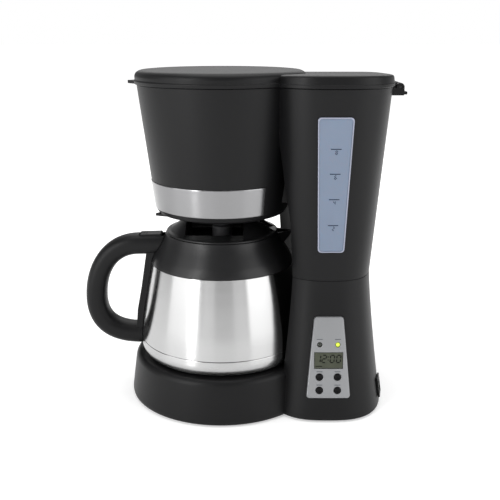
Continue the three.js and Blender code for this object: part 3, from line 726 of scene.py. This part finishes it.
class COFFEE_OT_stage(bpy.types.Operator):
    """Add the floor, the lights and the camera."""

    bl_idname = "coffee.stage"
    bl_label = "Stage"

    def execute(self, context):
        scene = context.scene
        bm = bmesh.new()
        bmesh.ops.create_grid(bm, x_segments=1, y_segments=1, size=20.0)
        mesh = bpy.data.meshes.new("floor")
        bm.to_mesh(mesh)
        bm.free()
        # Matt white studio paper. It glows away from the object, so it is white to the horizon.
        paper = finish("studio_paper", "#E0E0E0", 0.9, Emission_Color=linear("#FFFFFF"))
        paper_tree = paper.node_tree
        place = add_node(paper_tree, "ShaderNodeTexCoord").outputs["Object"]
        away = add_node(paper_tree, "ShaderNodeVectorMath", {0: place}, operation="LENGTH")
        ramp = {"From Min": 0.16, "From Max": 0.9, "To Min": 0.4, "To Max": 0.8}
        ramp["Value"] = away.outputs["Value"]
        glow = add_node(paper_tree, "ShaderNodeMapRange", ramp).outputs["Result"]
        shader = paper_tree.nodes["Principled BSDF"]
        paper_tree.links.new(glow, shader.inputs["Emission Strength"])
        mesh.materials.append(paper)
        floor = bpy.data.objects.new("floor", mesh)
        scene.collection.objects.link(floor)

        # The room's light is dimmer than its walls look, so that the pieces keep their contrast.
        world = bpy.data.worlds.new("studio")
        world.use_nodes = True
        tree = world.node_tree
        seen = add_node(tree, "ShaderNodeLightPath").outputs["Is Camera Ray"]
        dimmed = {"Value": seen, "To Min": 0.35, "To Max": 1.0}
        light = add_node(tree, "ShaderNodeMapRange", dimmed)
        background = tree.nodes["Background"]
        background.inputs["Color"].default_value = (1, 1, 1, 1)
        tree.links.new(light.outputs["Result"], background.inputs["Strength"])
        scene.world = world
        scene.view_settings.view_transform = "Standard"

        # Each softbox: place, width, height and power.
        softboxes = {
            "left_softbox": ((-1.3, -0.75, 0.65), 1.2, 1.2, 9.0),
            "left_strip": ((-0.92, -1.06, 0.6), 0.28, 1.2, 8.0),
            "right_softbox": ((1.3, -0.75, 0.65), 1.3, 1.2, 12.0),
            "front_left": ((-0.5, -1.5, 0.45), 0.45, 0.8, 0.55),
            "front_right": ((0.66, -1.45, 0.45), 0.45, 0.8, 0.55),
            "top_softbox": ((0.05, 0.1, 1.7), 1.5, 1.5, 16.0),
            "back_softbox": ((0.0, 1.5, 1.25), 1.4, 1.4, 6.5),
        }
        for name, (spot, width, height, power) in softboxes.items():
            lamp = bpy.data.lights.new(name, "AREA")
            lamp.shape = "RECTANGLE"
            lamp.size, lamp.size_y = width, height
            lamp.energy = power
            light = bpy.data.objects.new(name, lamp)
            light.location = spot
            aim = Vector((0, 0, 0.15)) - Vector(spot)
            light.rotation_euler = aim.to_track_quat("-Z", "Y").to_euler()
            scene.collection.objects.link(light)

        camera = bpy.data.cameras.new("camera")
        camera.lens = settings().camera_lens
        camera.sensor_width = 36.0
        viewer = bpy.data.objects.new("camera", camera)
        viewer.location = (0.010, -0.690, 0.336)
        viewer.rotation_euler = (math.radians(74), 0, 0)
        scene.collection.objects.link(viewer)
        scene.camera = viewer
        return {"FINISHED"}


def tank_core():
    """The round hollow that the bucket and the carafe take out of the column."""
    return turned([(0, 0), (82.5, 0), (82.5, 180), (77, 256), (77, 320), (0, 320)])


class COFFEE_OT_upper_shell(bpy.types.Operator):
    """Add the upper housing: bucket, water tank and hinge bracket."""

    bl_idname = "coffee.upper_shell"
    bl_label = "Upper housing"

    def execute(self, context):
        band_low, band_high = settings().band_low, settings().band_high
        recess = turned([(0, 0), (RECESS_RADIUS, 0), (RECESS_RADIUS, 180), (66, 256), (0, 256)])
        column = cut(column_loft(column_levels(WAIST_Z + 0.1, RIM_Z, 0, 6, 0.25)), recess)
        bucket = turned([
            (0, BUCKET_FOOT_Z), (BUCKET_FOOT_RADIUS - 2.2, BUCKET_FOOT_Z, 1.5),
            (bucket_radius(band_low - 0.3), band_low - 0.3, 0.4), (BUCKET_RIM_RADIUS, RIM_Z),
            (0, RIM_Z),
        ])
        web = block((30, -30, 190), (84, 30, 262), 1.0)
        bracket = [
            block(
                (145, -HINGE_HALF, HINGE_FOOT_Z),
                (HINGE_X + KNUCKLE_RADIUS, HINGE_HALF, HINGE_FOOT_Z + 2.6),
                0.6,
            ),
            block((HINGE_X, -HINGE_HALF, 284.1), (HINGE_TIP_X, HINGE_HALF, 286.7), 0.6),
        ]
        for y in (-HINGE_HALF, HINGE_HALF - EAR_THICKNESS):
            end = y + EAR_THICKNESS
            bracket += [
                block(
                    (HINGE_X - KNUCKLE_RADIUS, y, HINGE_FOOT_Z),
                    (HINGE_X + KNUCKLE_RADIUS, end, HINGE_Z),
                    0.5,
                ),
                block((144, y, HINGE_FOOT_Z), (HINGE_X, end, HINGE_Z - 0.6), 0.5),
                roller(KNUCKLE_RADIUS, y, end, HINGE_X, HINGE_Z, 0.5),
            ]
        shell = joined(column, bucket, web, *bracket)
        tank = cut(column_loft(column_levels(147, RIM_Z + 1, WALL, 4)), tank_core())
        skirt = cut(column_loft(column_levels(WAIST_Z - 1, 144, WALL)), tank_core())
        bowl = turned([
            (0, 180.6), (bucket_radius(180.6) - WALL, 180.6, 3),
            (bucket_radius(RIM_Z + 1) - WALL, RIM_Z + 1), (0, RIM_Z + 1),
        ])
        shell = cut(shell, tank, skirt, bowl)
        ledge = turned([(66.4, 267), (66.4, 271.4), (69.9, 271.4), (69.9, 262)])
        groove_low, groove_high = bucket_radius(band_low) - 0.8, bucket_radius(band_high) - 0.8
        groove = turned([
            (groove_low, band_low - 0.3), (groove_high, band_high + 0.3),
            (groove_high + 5, band_high + 0.3), (groove_low + 5, band_low - 0.3),
        ], angle=2 * math.pi - 2 * BAND_END, start=BAND_END)
        notch = Matrix.Rotation(math.atan2(30, 92), 4, "Z")
        shell = cut(
            joined(shell, ledge),
            groove,
            roller(PIN_RADIUS, -23, 23, HINGE_X, HINGE_Z),
            roller(4.1, -14, 14, HINGE_X, HINGE_Z),
            block((60, -6, 282), (92, 6, RIM_Z + 1), 0, notch),
            drum(11.8, 170, 190, SMALL_STEPS),
            plate(gauge_outline(0.25), -9, 9, 3.2, 0, GAUGE_FRAME),
        )
        finished("upper_shell", shell, moulded_polypropylene(), "upper_housing")
        return {"FINISHED"}


class COFFEE_OT_lid(bpy.types.Operator):
    """Add the hinged lid: a disc over the bucket and a lobe over the tank."""

    bl_idname = "coffee.lid"
    bl_label = "Lid"

    def execute(self, context):
        low = RIM_Z + 0.5
        disc = turned([
            (0, low), (76.0, low, 0.4), (76.5, 295.5, 0.4), (75.7, 296.2, 0.3),
            (75.9, 299.6, 1.0), (74.8, 302.2, 1.2), (71.6, 304.2, 1.5), (66, 304.7, 1.5),
            (0, 304.8),
        ])
        lobe = column_loft([
            [low, -1.5], [low + 0.4, -1.9], [295.3, -1.9], [295.7, -1.4], [300.8, -0.8],
            [301.6, -0.4], [302.2, 0.4], [302.6, 1.8], [302.8, 5.0],
        ])
        # The top of the lobe falls a little towards the back.
        for vert in lobe.verts:
            if vert.co.z > 300:
                vert.co.z -= LOBE_FALL * (vert.co.y + 65)
        lip = plate([(-70, -18), (-76, -9), (-83.2, 0), (-76, 9), (-70, 18)], low, 295.2, 1.6, 0.6)
        knuckle = joined(
            roller(KNUCKLE_RADIUS, -13.5, 13.5, HINGE_X, HINGE_Z, 0.4),
            block((149.8, -13.5, HINGE_Z + 0.6), (HINGE_X, 13.5, HINGE_Z + KNUCKLE_RADIUS)),
        )
        lid = joined(disc, lobe, lip, knuckle)
        hollow = turned([(0, 280), (72.2, 280), (72.2, 300, 1), (69.6, 302.2, 1), (0, 302.2)])
        lobe_hollow = cut(
            column_loft([[low - 1, 1.2], [297, 2.8]]), block((150, -90, 280), (170, 90, 320))
        )
        lid = cut(lid, hollow, lobe_hollow, roller(PIN_RADIUS, -14, 14, HINGE_X, HINGE_Z))
        finished("lid_shell", lid, moulded_polypropylene(), "machine_lid", body="lid")
        return {"FINISHED"}


class COFFEE_OT_lower_shell(bpy.types.Operator):
    """Add the lower housing: the round stand and the foot of the column."""

    bl_idname = "coffee.lower_shell"
    bl_label = "Lower housing"

    def execute(self, context):
        stand = turned([
            (0, SHELL_FOOT_Z), (87.9, SHELL_FOOT_Z, 0.4), (88.5, 4.5, 1), (84.7, 33.0, 4),
            (83.6, 39.2, 2.0), (80.6, STAND_TOP_Z, 1.2), (67.6, STAND_TOP_Z, 0.6), (66.4, 40.4),
            (0, 40.4),
        ])
        recess = drum(RECESS_RADIUS, STAND_TOP_Z, 180)
        levels = column_levels(SHELL_FOOT_Z, WAIST_Z - 0.35, 0, 16, 0.9) + [[WAIST_Z - 0.1, 0.2]]
        column = cut(column_loft(levels), recess)
        shell = joined(stand, column)
        stand_hollow = turned([(0, 0), (86.0, 0), (81.9, 34), (79.9, 37.6), (0, 37.6)])
        behind = drum(82.2, 37.6, 180)
        column_hollow = cut(column_loft(column_levels(SHELL_FOOT_Z, WAIST_Z + 1, WALL, 8)), behind)
        shell = cut(
            shell,
            stand_hollow,
            column_hollow,
            column_loft(column_levels(SHELL_FOOT_Z - 2, SHELL_FOOT_Z + 1, WALL)),
            plate(panel_outline(0.25), -1.6, 12, 3.4, 0, PANEL_FRAME),
            plate(trapezoid(32.5, 23, PANEL_HEIGHT - 9), -9, 0, 2, 0, PANEL_FRAME),
            block((-6.4, -8.4, -9), (6.4, 8.4, 9), 0, switch_frame()),
            roller(6.9, 61, 91, GLAND_X, GLAND_Z),
        )
        finished("lower_shell", shell, moulded_polypropylene(), "lower_housing")
        dish = turned([
            (0, 40.7), (65.4, 40.7, 0.3), (66.0, 42.4, 0.5), (63.4, 42.4, 0.5), (62.4, 41.7, 0.5),
            (0, 41.7),
        ])
        finished("warming_plate", dish, coated_plate(), "carafe_plate")
        return {"FINISHED"}


class COFFEE_OT_bucket_trim(bpy.types.Operator):
    """Add the steel band round the bucket and the black plate under it."""

    bl_idname = "coffee.bucket_trim"
    bl_label = "Bucket trim"

    def execute(self, context):
        low, high = settings().band_low, settings().band_high
        inner_low, inner_high = bucket_radius(low) - 0.5, bucket_radius(high) - 0.5
        band = turned([
            (inner_low, low), (inner_low + 0.75, low, 0.2), (inner_low + 0.95, low + 0.7, 0.3),
            (inner_high + 0.95, high - 0.7, 0.3), (inner_high + 0.75, high, 0.2),
            (inner_high, high),
        ], angle=2 * math.pi - 2 * BAND_END - 0.012, start=BAND_END + 0.006)
        finished("band", band, band_stainless(), "steel_band")
        disc = turned([(11.8, 175.4, 0.4), (49.5, 175.4, 0.6), (53, 177.7, 0.5), (11.8, 177.7)])
        tab = plate(
            [(-48, -10), (-55, -6), (-62.6, 0), (-55, 6), (-48, 10)],
            175.4,
            177.7,
            1.6,
            0.5,
            Matrix.Rotation(math.radians(15), 4, "Z"),
        )
        finished("bucket_underplate", joined(disc, tab), moulded_polypropylene(), "bucket_plate")
        return {"FINISHED"}


def seven_segment(digit, height, stroke, x, y, lean):
    """The bars of one clock digit, as a flat mesh that leans over its lower left corner."""
    lit = {0: "abcdef", 1: "bc", 2: "abged", 4: "fgbc", 6: "afgedc", 8: "abcdefg"}[digit]
    width, half = height * 0.52, height / 2
    bars = {
        "a": ((0, height), (width, height)),
        "b": ((width, half), (width, height)),
        "c": ((width, 0), (width, half)),
        "d": ((0, 0), (width, 0)),
        "e": ((0, 0), (0, half)),
        "f": ((0, half), (0, height)),
        "g": ((0, half), (width, half)),
    }
    parts = []
    for key in lit:
        start, end = Vector(bars[key][0]), Vector(bars[key][1])
        along = (end - start).normalized()
        side = Vector((-along.y, along.x))
        start, end = start + along * stroke * 0.25, end - along * stroke * 0.25
        shoulder = stroke / 2
        corners = [
            start,
            start + (along + side) * shoulder,
            end - (along - side) * shoulder,
            end,
            end - (along + side) * shoulder,
            start + (along - side) * shoulder,
        ]
        parts.append(plate([tuple(c) for c in corners], 0, INK, 0))
    shear = Matrix.Identity(4)
    shear[0][1] = lean
    return moved(gathered(*parts), at(x, y) @ shear)


class COFFEE_OT_gauge(bpy.types.Operator):
    """Add the water window and its printed cup marks."""

    bl_idname = "coffee.gauge"
    bl_label = "Water gauge"

    def execute(self, context):
        window = plate(gauge_outline(), -2.6, 0.9, 3.0, 1.8, GAUGE_FRAME)
        finished("water_window", window, frosted_styrene(), "gauge_window")
        rim = cut(
            plate(gauge_outline(0.1), -0.4, 1.2, 3.0, 0.5), plate(gauge_outline(-1.0), -1, 2, 2.4)
        )
        # The rim's paler colour is a painted highlight along the window's edges.
        finished("window_rim", moved(rim, GAUGE_FRAME), clear_styrene())
        marks = []
        for cups, y in ((2, -34.0), (4, -11.0), (6, 11.0), (8, 32.0)):
            marks.append(plate(rectangle(-3.6, y, 5.2, y + 0.8), 0, INK, 0))
            marks.append(seven_segment(cups, 3.1, 0.85, 0.2, y - 4.0, 0.1))
        marks = moved(gathered(*marks), GAUGE_FRAME @ at(0, 0, 0.86))
        finished("gauge_marks", marks, printed_ink(), sharp=20)
        return {"FINISHED"}


class COFFEE_OT_clock_panel(bpy.types.Operator):
    """Add the silver panel with its clock, lamps and keys."""

    bl_idname = "coffee.clock_panel"
    bl_label = "Clock panel"

    def execute(self, context):
        keys = {
            "hour": (-8.0, -17.5),
            "minute": (8.0, -17.5),
            "program": (-8.0, -29.6),
            "auto": (8.0, -29.6),
        }
        lamps = {
            "lamp_timer": (-8.0, 11.8, dark_lens(), "lamp_dark"),
            "lamp_ready": (8.0, 11.8, lit_lens(), "lamp_lit"),
        }
        face = crowned(plate(panel_outline(), -1.2, 0.9, 3.2, 1.2))
        holes = [block((-12.8, -10.0, -5), (12.8, 5.0, 5))]
        for x, y in keys.values():
            holes.append(moved(drum(3.45, -5, 5, SMALL_STEPS), at(x, y)))
        for x, y, _, _ in lamps.values():
            holes.append(moved(drum(2.3, -5, 5, SMALL_STEPS), at(x, y)))
        face = moved(cut(face, *holes), PANEL_FRAME)
        finished("clock_face", face, silver_lacquer(), "control_panel")

        glass = block((-12.5, -9.7, -5.6), (12.5, 4.7, 0.8), 0.35, PANEL_FRAME)
        finished("clock_glass", glass, display_glass(), "clock_display")
        figures = []
        for digit, x in ((1, -11.0), (2, -6.0), (0, 1.2), (0, 6.8)):
            figures.append(seven_segment(digit, 6.6, 1.0, x, -4.4, 0.12))
        for y in (-2.6, 0.2):
            figures.append(plate(rectangle(-0.8, y, 0.1, y + 0.9), 0, INK, 0.2))
        figures.append(plate(rectangle(-11.6, -8.2, -5.6, -7.5), 0, INK, 0.1))
        digits = moved(gathered(*figures), PANEL_FRAME @ at(0, 0, 0.77))
        ink = printed_ink("display_ink", "#040503")
        finished("clock_digits", digits, ink, sharp=20)

        for name, (x, y, material, slot) in lamps.items():
            lens = turned(
                [(0, -6), (1.8, -6), (1.8, 1.2, 0.3), (1.1, 1.9, 0.5), (0, 2.05)], SMALL_STEPS
            )
            lens = moved(lens, PANEL_FRAME @ at(x, y))
            finished(name + "_lens", lens, material, name)
        for name, (x, y) in keys.items():
            key = turned([
                (0, -3.4), (3.1, -3.4), (3.1, 1.6, 0.4), (2.3, 2.2, 0.4), (1.3, 2.0, 0.6),
                (0, 1.9),
            ], SMALL_STEPS)
            finished(
                name + "_key_cap", moved(key, PANEL_FRAME @ at(x, y)), polished_abs(),
                "button_" + name, body=name + "_key",
            )
        # A plain dash over each key and lamp, in place of lettering.
        dashes = []
        for x, y, *_ in [*keys.values(), *lamps.values()]:
            dashes.append(plate(rectangle(x - 2.6, y + 4.5, x + 2.6, y + 5.2), 0, 0.06, 0))
        printed = moved(crowned(gathered(*dashes), -1), PANEL_FRAME @ at(0, 0, 0.87))
        ink = printed_ink("panel_ink", "#505257")
        finished("panel_marks", printed, ink, sharp=20)
        return {"FINISHED"}


def switch_frame():
    """A frame on the column's right side: x across the switch, y up, z out of the wall."""

    def on_surface(z):
        half_width, half_depth = column_half_sizes(z)
        reach = (1 - abs(SWITCH_Y / half_depth) ** FRONT_ROUNDNESS) ** (1 / FRONT_ROUNDNESS)
        return Vector((COLUMN_X + reach * half_width, SWITCH_Y, z))

    low, high = on_surface(SWITCH_Z - 10), on_surface(SWITCH_Z + 10)
    up = (high - low).normalized()
    centre = (low + high) / 2
    half_width, half_depth = column_half_sizes(SWITCH_Z)
    slope = Vector(
        (
            ((centre.x - COLUMN_X) / half_width) ** (FRONT_ROUNDNESS - 1) / half_width,
            -(abs(SWITCH_Y / half_depth) ** (FRONT_ROUNDNESS - 1)) / half_depth,
            0,
        )
    )
    across = up.cross(slope).normalized()
    frame = Matrix((across, up, across.cross(up))).transposed().to_4x4()
    frame.translation = centre
    return frame


class COFFEE_OT_switch(bpy.types.Operator):
    """Add the rocker switch and the mains gland."""

    bl_idname = "coffee.switch"
    bl_label = "Switch and gland"

    def execute(self, context):
        frame = switch_frame()
        flange = plate(rectangle(-7.6, -9.6, 7.6, 9.6), 0.4, 1.9, 1.6, 0.6)
        body = joined(flange, block((-6, -8, -10), (6, 8, 1)))
        bezel = cut(body, block((-4.8, -6.8, -8.5), (4.8, 6.8, 9)))
        finished("switch_surround", moved(bezel, frame), polished_abs(), "switch_bezel")
        # The rocker's two ends are arcs about its pivot, and its outer faces meet in a shallow V.
        reach = 6.4
        arc = [0.5 - i * 0.125 for i in range(9)]
        outline = [(reach * math.cos(a), reach * math.sin(a)) for a in arc]
        outline += [(-reach * math.cos(a), reach * math.sin(a)) for a in reversed(arc)]
        outline.append((0, 2.3))
        rock = plate(outline, -4.4, 4.4, 0)
        rounded(rock, rock.edges[:], 0.4)
        tilt = Matrix.Rotation(math.radians(8), 4, "X")
        finished(
            "rocker_cap", moved(rock, frame @ at(0, 0, -1.5) @ tilt @ UPRIGHT), polished_abs(),
            "rocker", body="power_rocker",
        )
        back = column_half_sizes(GLAND_Z)[1]
        gland = turned([
            (3.6, -9), (6.5, -9), (6.5, 1.9), (8.0, 1.9, 0.4), (8.0, 3.6, 0.4), (6.5, 3.9, 0.3),
            (6.0, 5.0, 0.4), (3.6, 5.0, 0.4),
        ], SMALL_STEPS)
        outwards = at(GLAND_X, back, GLAND_Z) @ Matrix.Rotation(-math.pi / 2, 4, "X")
        finished("cord_gland", moved(gland, outwards), nitrile_rubber(), "cable_gland")
        return {"FINISHED"}


JACKET = [(77.6, 58.0), (76.2, 74.0, 6), (73.2, 92.0, 7), (69.7, 112.0, 7), (66.3, 129.2)]


class COFFEE_OT_carafe_body(bpy.types.Operator):
    """Add the carafe's brushed jacket and its foot."""

    bl_idname = "coffee.carafe_body"
    bl_label = "Carafe body"

    def execute(self, context):
        inside = [(p[0] - 0.8, *p[1:]) for p in reversed(JACKET)]
        finished(
            "carafe_sleeve", turned(JACKET + inside), brushed_stainless(), "carafe_jacket",
            body="carafe",
        )
        foot = turned([
            (0, 44.6), (64, 44.6, 1), (67, 43.0, 0.8), (73.2, 43.0, 1.5), (77.2, 47.0, 2.5),
            (78.0, 52.0, 1.5), (77.5, 57.3, 0.4), (77.0, 57.6), (76.6, 57.6), (77.2, 51.4, 1),
            (73, 45.5, 1), (0, 45.5),
        ])
        finished(
            "carafe_foot", foot, brushed_stainless(), "carafe_bottom", body="carafe",
        )
        flask = turned([
            (0, 50), (70, 50, 2), (73.5, 58, 4), (64.4, 122, 6), (44.5, 139, 3), (44.5, 149),
            (43.7, 149), (43.7, 138.5, 3), (63.6, 121.5, 6), (72.6, 58.2, 4), (69.6, 50.8, 2),
            (0, 50.8),
        ], 96)
        finished(
            "flask_liner", flask, silvered_glass(), "vacuum_flask", body="carafe",
        )
        return {"FINISHED"}


COLLAR = [
    (66.5, 129.5, 0.3), (65.8, 132.0, 1.0), (63.9, 136.4, 2), (59.7, 143.4, 3),
    (56.0, 149.5, 2.5), (53.4, 154.5, 2), (52.4, 157.6, 0.4),
]


class COFFEE_OT_carafe_top(bpy.types.Operator):
    """Add the carafe's collar with its spout, and its twist lid."""

    bl_idname = "coffee.carafe_top"
    bl_label = "Carafe top"

    def execute(self, context):
        shoulder = turned(
            COLLAR + [(47.6, 157.6, 0.4), (47.6, 150), (55, 140.5), (61, 133), (62.4, 129.5)]
        )
        # The spout is what its side view and its plan have in common.
        side = plate(
            [(44, 147), (55, 145), (62, 152.6), (65, 157), (64.6, 157.6), (44, 157.6)],
            -12,
            12,
            0,
            0,
            SIDEWAYS,
        )
        plan = plate(
            [(40, -11), (52, -10), (65.2, -2.5), (65.2, 2.5), (52, 10), (40, 11)], 140, 160, 2
        )
        bore = drum(47.6, 130, 170)
        channel = plate(
            [(40, -8.5), (52, -7.6), (62.8, -1.8), (62.8, 1.8), (52, 7.6), (40, 8.5)],
            152.5,
            170,
            1.5,
        )
        lip = block((60, -2.2, 155.8), (70, 2.2, 170), 0.6)
        beak = cut(combined(side, plan, "INTERSECT"), bore)
        collar = cut(joined(shoulder, beak), channel, lip)
        finished("carafe_shoulder", collar, satin_polypropylene(), "carafe_collar", body="carafe")
        dome = turned([
            (0, 139), (40, 139, 0.6), (41.4, 141, 0.6), (41.4, 150.6), (46.4, 150.6),
            (46.4, 158.0), (52.0, 158.0, 0.3), (51.4, 159.4, 0.5), (48, 160.2, 1.2),
            (34.4, 169.6, 1.6), (32.0, 170.5, 1.0), (0, 170.5),
        ])
        trough = [
            block((-32, -60, 159.6), (20, 26, 176)),
            block((-31.9, -28, 152), (19.9, 25.9, 177), 3.0),
            block((10, -9, 159.6), (60, 9, 178)),
        ]
        boss = turned(
            [(0, 151), (9.3, 151), (9.3, 162.4, 0.8), (8.2, 163.0, 0.4), (0, 163.0)], SMALL_STEPS
        )
        finished(
            "carafe_stopper_shell", cut(dome, *trough), satin_polypropylene(), "carafe_lid",
            body="carafe_stopper",
        )
        # The boss's paler grey is painted light: it stands in for light on the boss in the shade
        # under the bucket.
        finished("carafe_stopper_boss", boss, inner_polypropylene(), body="carafe_stopper")
        return {"FINISHED"}


def bezier(points, count):
    """Points along a cubic curve from the first to the last of four control points."""
    a, b, c, d = (Vector(p) for p in points)
    for i in range(count):
        t = i / count
        u = 1 - t
        yield a * u**3 + b * 3 * u * u * t + c * 3 * u * t * t + d * t**3


class COFFEE_OT_carafe_handle(bpy.types.Operator):
    """Add the carafe's handle and its thumb lever."""

    bl_idname = "coffee.carafe_handle"
    bl_label = "Carafe handle"

    def execute(self, context):
        centres = [Vector((-48 - 8 * i, 0, 145.6 - 0.15 * i)) for i in range(4)]
        above = [(-80, 0, 145), (-107, 0, 144), (HANDLE_X, 0, 119), (HANDLE_X, 0, 92)]
        below = [(HANDLE_X, 0, 92), (HANDLE_X, 0, 66), (-104, 0, 56.6), (-80, 0, 56.4)]
        centres += [*bezier(above, 26), *bezier(below, 26)]
        centres += [Vector((x, 0, 56.4)) for x in (-80, -75, -70)]
        stations = []
        for i, centre in enumerate(centres):
            ahead = centres[min(i + 1, len(centres) - 1)] - centres[max(i - 1, 0)]
            along = ahead.normalized()
            stations.append((centre, Vector((0, 1, 0)), along.cross(Vector((0, 1, 0)))))
        section = []
        for i in range(40):
            angle = 2 * math.pi * (i + 0.5) / 40
            across = 12 * squared(math.cos(angle), HANDLE_SQUARENESS)
            section.append((across, 9.7 * squared(math.sin(angle), HANDLE_SQUARENESS)))
        grip = swept(stations, section)
        strip = plate(
            [
                (-60, 150), (-69.6, 146), (-71.6, 134), (-76.6, 104), (-81, 82), (-82.8, 62),
                (-70, 58),
            ],
            -9,
            9,
            1.5,
            0,
            SIDEWAYS,
        )
        # The handle ends 0.4 mm off the vessel.
        vessel = turned(
            [(0, 30), (78.4, 30), (78.4, 51)]
            + [(p[0] + 0.4, *p[1:]) for p in JACKET + COLLAR[:-1]]
            + [(52.8, 170), (0, 170)]
        )
        notch = block((-77.6, -7.5, 148.5), (-40, 7.5, 170), 0.8)
        handle = cut(joined(grip, strip), vessel, notch)
        finished("carafe_grip", handle, moulded_polypropylene(), "carafe_handle", body="carafe")
        lever = plate([(-77, 151.6), (-57.0, 151.2), (-56.4, 155.6), (-77, 155.0)], -7, 7, 0.9)
        rounded(lever, lever.edges[:], 0.5)
        ridges = [roller(0.5, -5.5, 5.5, x, 155.2, 0.2) for x in (-74.5, -72.5, -70.5)]
        finished(
            "thumb_lever_cap", joined(moved(lever, SIDEWAYS), *ridges), moulded_polypropylene(),
            "thumb_lever", body="pour_lever",
        )
        return {"FINISHED"}


class COFFEE_OT_brewing_parts(bpy.types.Operator):
    """Add the filter basket, the spray head and the drip valve."""

    bl_idname = "coffee.brewing_parts"
    bl_label = "Brewing parts"

    def execute(self, context):
        basket = turned([
            (4.6, 184, 0.5), (24, 184, 1), (59, 262, 2), (65, 271.7, 0.5), (68.4, 271.7, 0.5),
            (68.4, 274.2, 0.5), (63, 274.2, 0.8), (57, 263, 2), (23, 186, 1), (4.6, 186, 0.3),
        ])
        slope = math.atan2(263 - 186, 57 - 23)
        ribs = []
        for i in range(18):
            rib = block((0, -0.6, -0.4), (76, 0.6, 1.1), 0.2)
            stand = at(23.6, 0, 190) @ Matrix.Rotation(-slope, 4, "Y")
            ribs.append(moved(rib, Matrix.Rotation(2 * math.pi * i / 18, 4, "Z") @ stand))
        finished("filter_funnel", gathered(basket, *ribs), inner_polypropylene(), "filter_basket")
        plunger = turned([
            (0, 163.7), (8.3, 163.7, 0.6), (9.3, 165, 0.6), (9.3, 179.5, 0.4), (3.4, 179.5),
            (3.4, 190, 0.4), (0, 190),
        ], SMALL_STEPS)
        # The plunger's paler grey is painted light: it stands in for light on the plunger in the
        # shade under the bucket.
        finished(
            "drip_valve_stem", plunger, inner_polypropylene(), "drip_plunger", body="drip_valve"
        )
        head = turned([(0, 276), (24, 276, 0.6), (27, 280, 1), (12, 282, 1), (0, 282)], 96)
        head = joined(head, block((-8, -8, 281), (9, 8, 293), 0.8))
        holes = []
        for i in range(8):
            angle = i * math.pi / 4
            place = at(16 * math.cos(angle), 16 * math.sin(angle))
            holes.append(moved(drum(1.5, 270, 290, 24), place))
        finished("spray_rose", cut(head, *holes), inner_polypropylene(), "spray_head")
        return {"FINISHED"}


class COFFEE_OT_inner_finishes(bpy.types.Operator):
    """Give the frame's own solids their materials."""

    bl_idname = "coffee.inner_finishes"
    bl_label = "Inner finishes"

    def execute(self, context):
        by_finish = {
            moulded_polypropylene: ["bottom_cover"],
            blackened_steel: ["hinge_pin"],
            plain_stainless: [f"cover_screw_{i}" for i in range(1, 5)],
            nitrile_rubber: [f"rubber_foot_{i}" for i in range(1, 6)],
            milky_silicone: ["drip_seal", "lid_gasket", "cold_water_hose", "hot_water_hose"],
            cast_aluminium: ["flow_heater", "heater_plate"],
            turned_brass: ["thermostat", "thermal_fuse", "check_valve"],
            solder_mask: ["timer_board", "power_board"],
            inner_polypropylene: ["riser_pipe"],
        }
        for make, names in by_finish.items():
            for name in names:
                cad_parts[name].material_slots[0].material = make()
        return {"FINISHED"}


OPERATORS = (
    COFFEE_OT_stage,
    COFFEE_OT_upper_shell,
    COFFEE_OT_lid,
    COFFEE_OT_lower_shell,
    COFFEE_OT_bucket_trim,
    COFFEE_OT_gauge,
    COFFEE_OT_clock_panel,
    COFFEE_OT_switch,
    COFFEE_OT_carafe_body,
    COFFEE_OT_carafe_top,
    COFFEE_OT_carafe_handle,
    COFFEE_OT_brewing_parts,
    COFFEE_OT_inner_finishes,
)


class COFFEE_PT_pieces(bpy.types.Panel):
    """Lists the coffee maker's settings and pieces."""

    bl_idname = "COFFEE_PT_pieces"
    bl_label = "Coffee maker"
    bl_space_type = "VIEW_3D"
    bl_region_type = "UI"
    bl_category = "Coffee"

    def draw(self, context):
        for key in CoffeeMakerSettings.__annotations__:
            self.layout.prop(context.scene.coffee_maker, key)
        for operator in OPERATORS:
            self.layout.operator(operator.bl_idname)


def register():
    for kind in (CoffeeMakerSettings, *OPERATORS, COFFEE_PT_pieces):
        bpy.utils.register_class(kind)
    bpy.types.Scene.coffee_maker = bpy.props.PointerProperty(type=CoffeeMakerSettings)


def unregister():
    del bpy.types.Scene.coffee_maker
    for kind in (COFFEE_PT_pieces, *reversed(OPERATORS), CoffeeMakerSettings):
        bpy.utils.unregister_class(kind)


def main():
    """Builds the coffee maker piece by piece."""
    register()
    for operator in OPERATORS:
        group, name = operator.bl_idname.split(".")
        getattr(getattr(bpy.ops, group), name)()


if __name__ == "__main__":
    main()
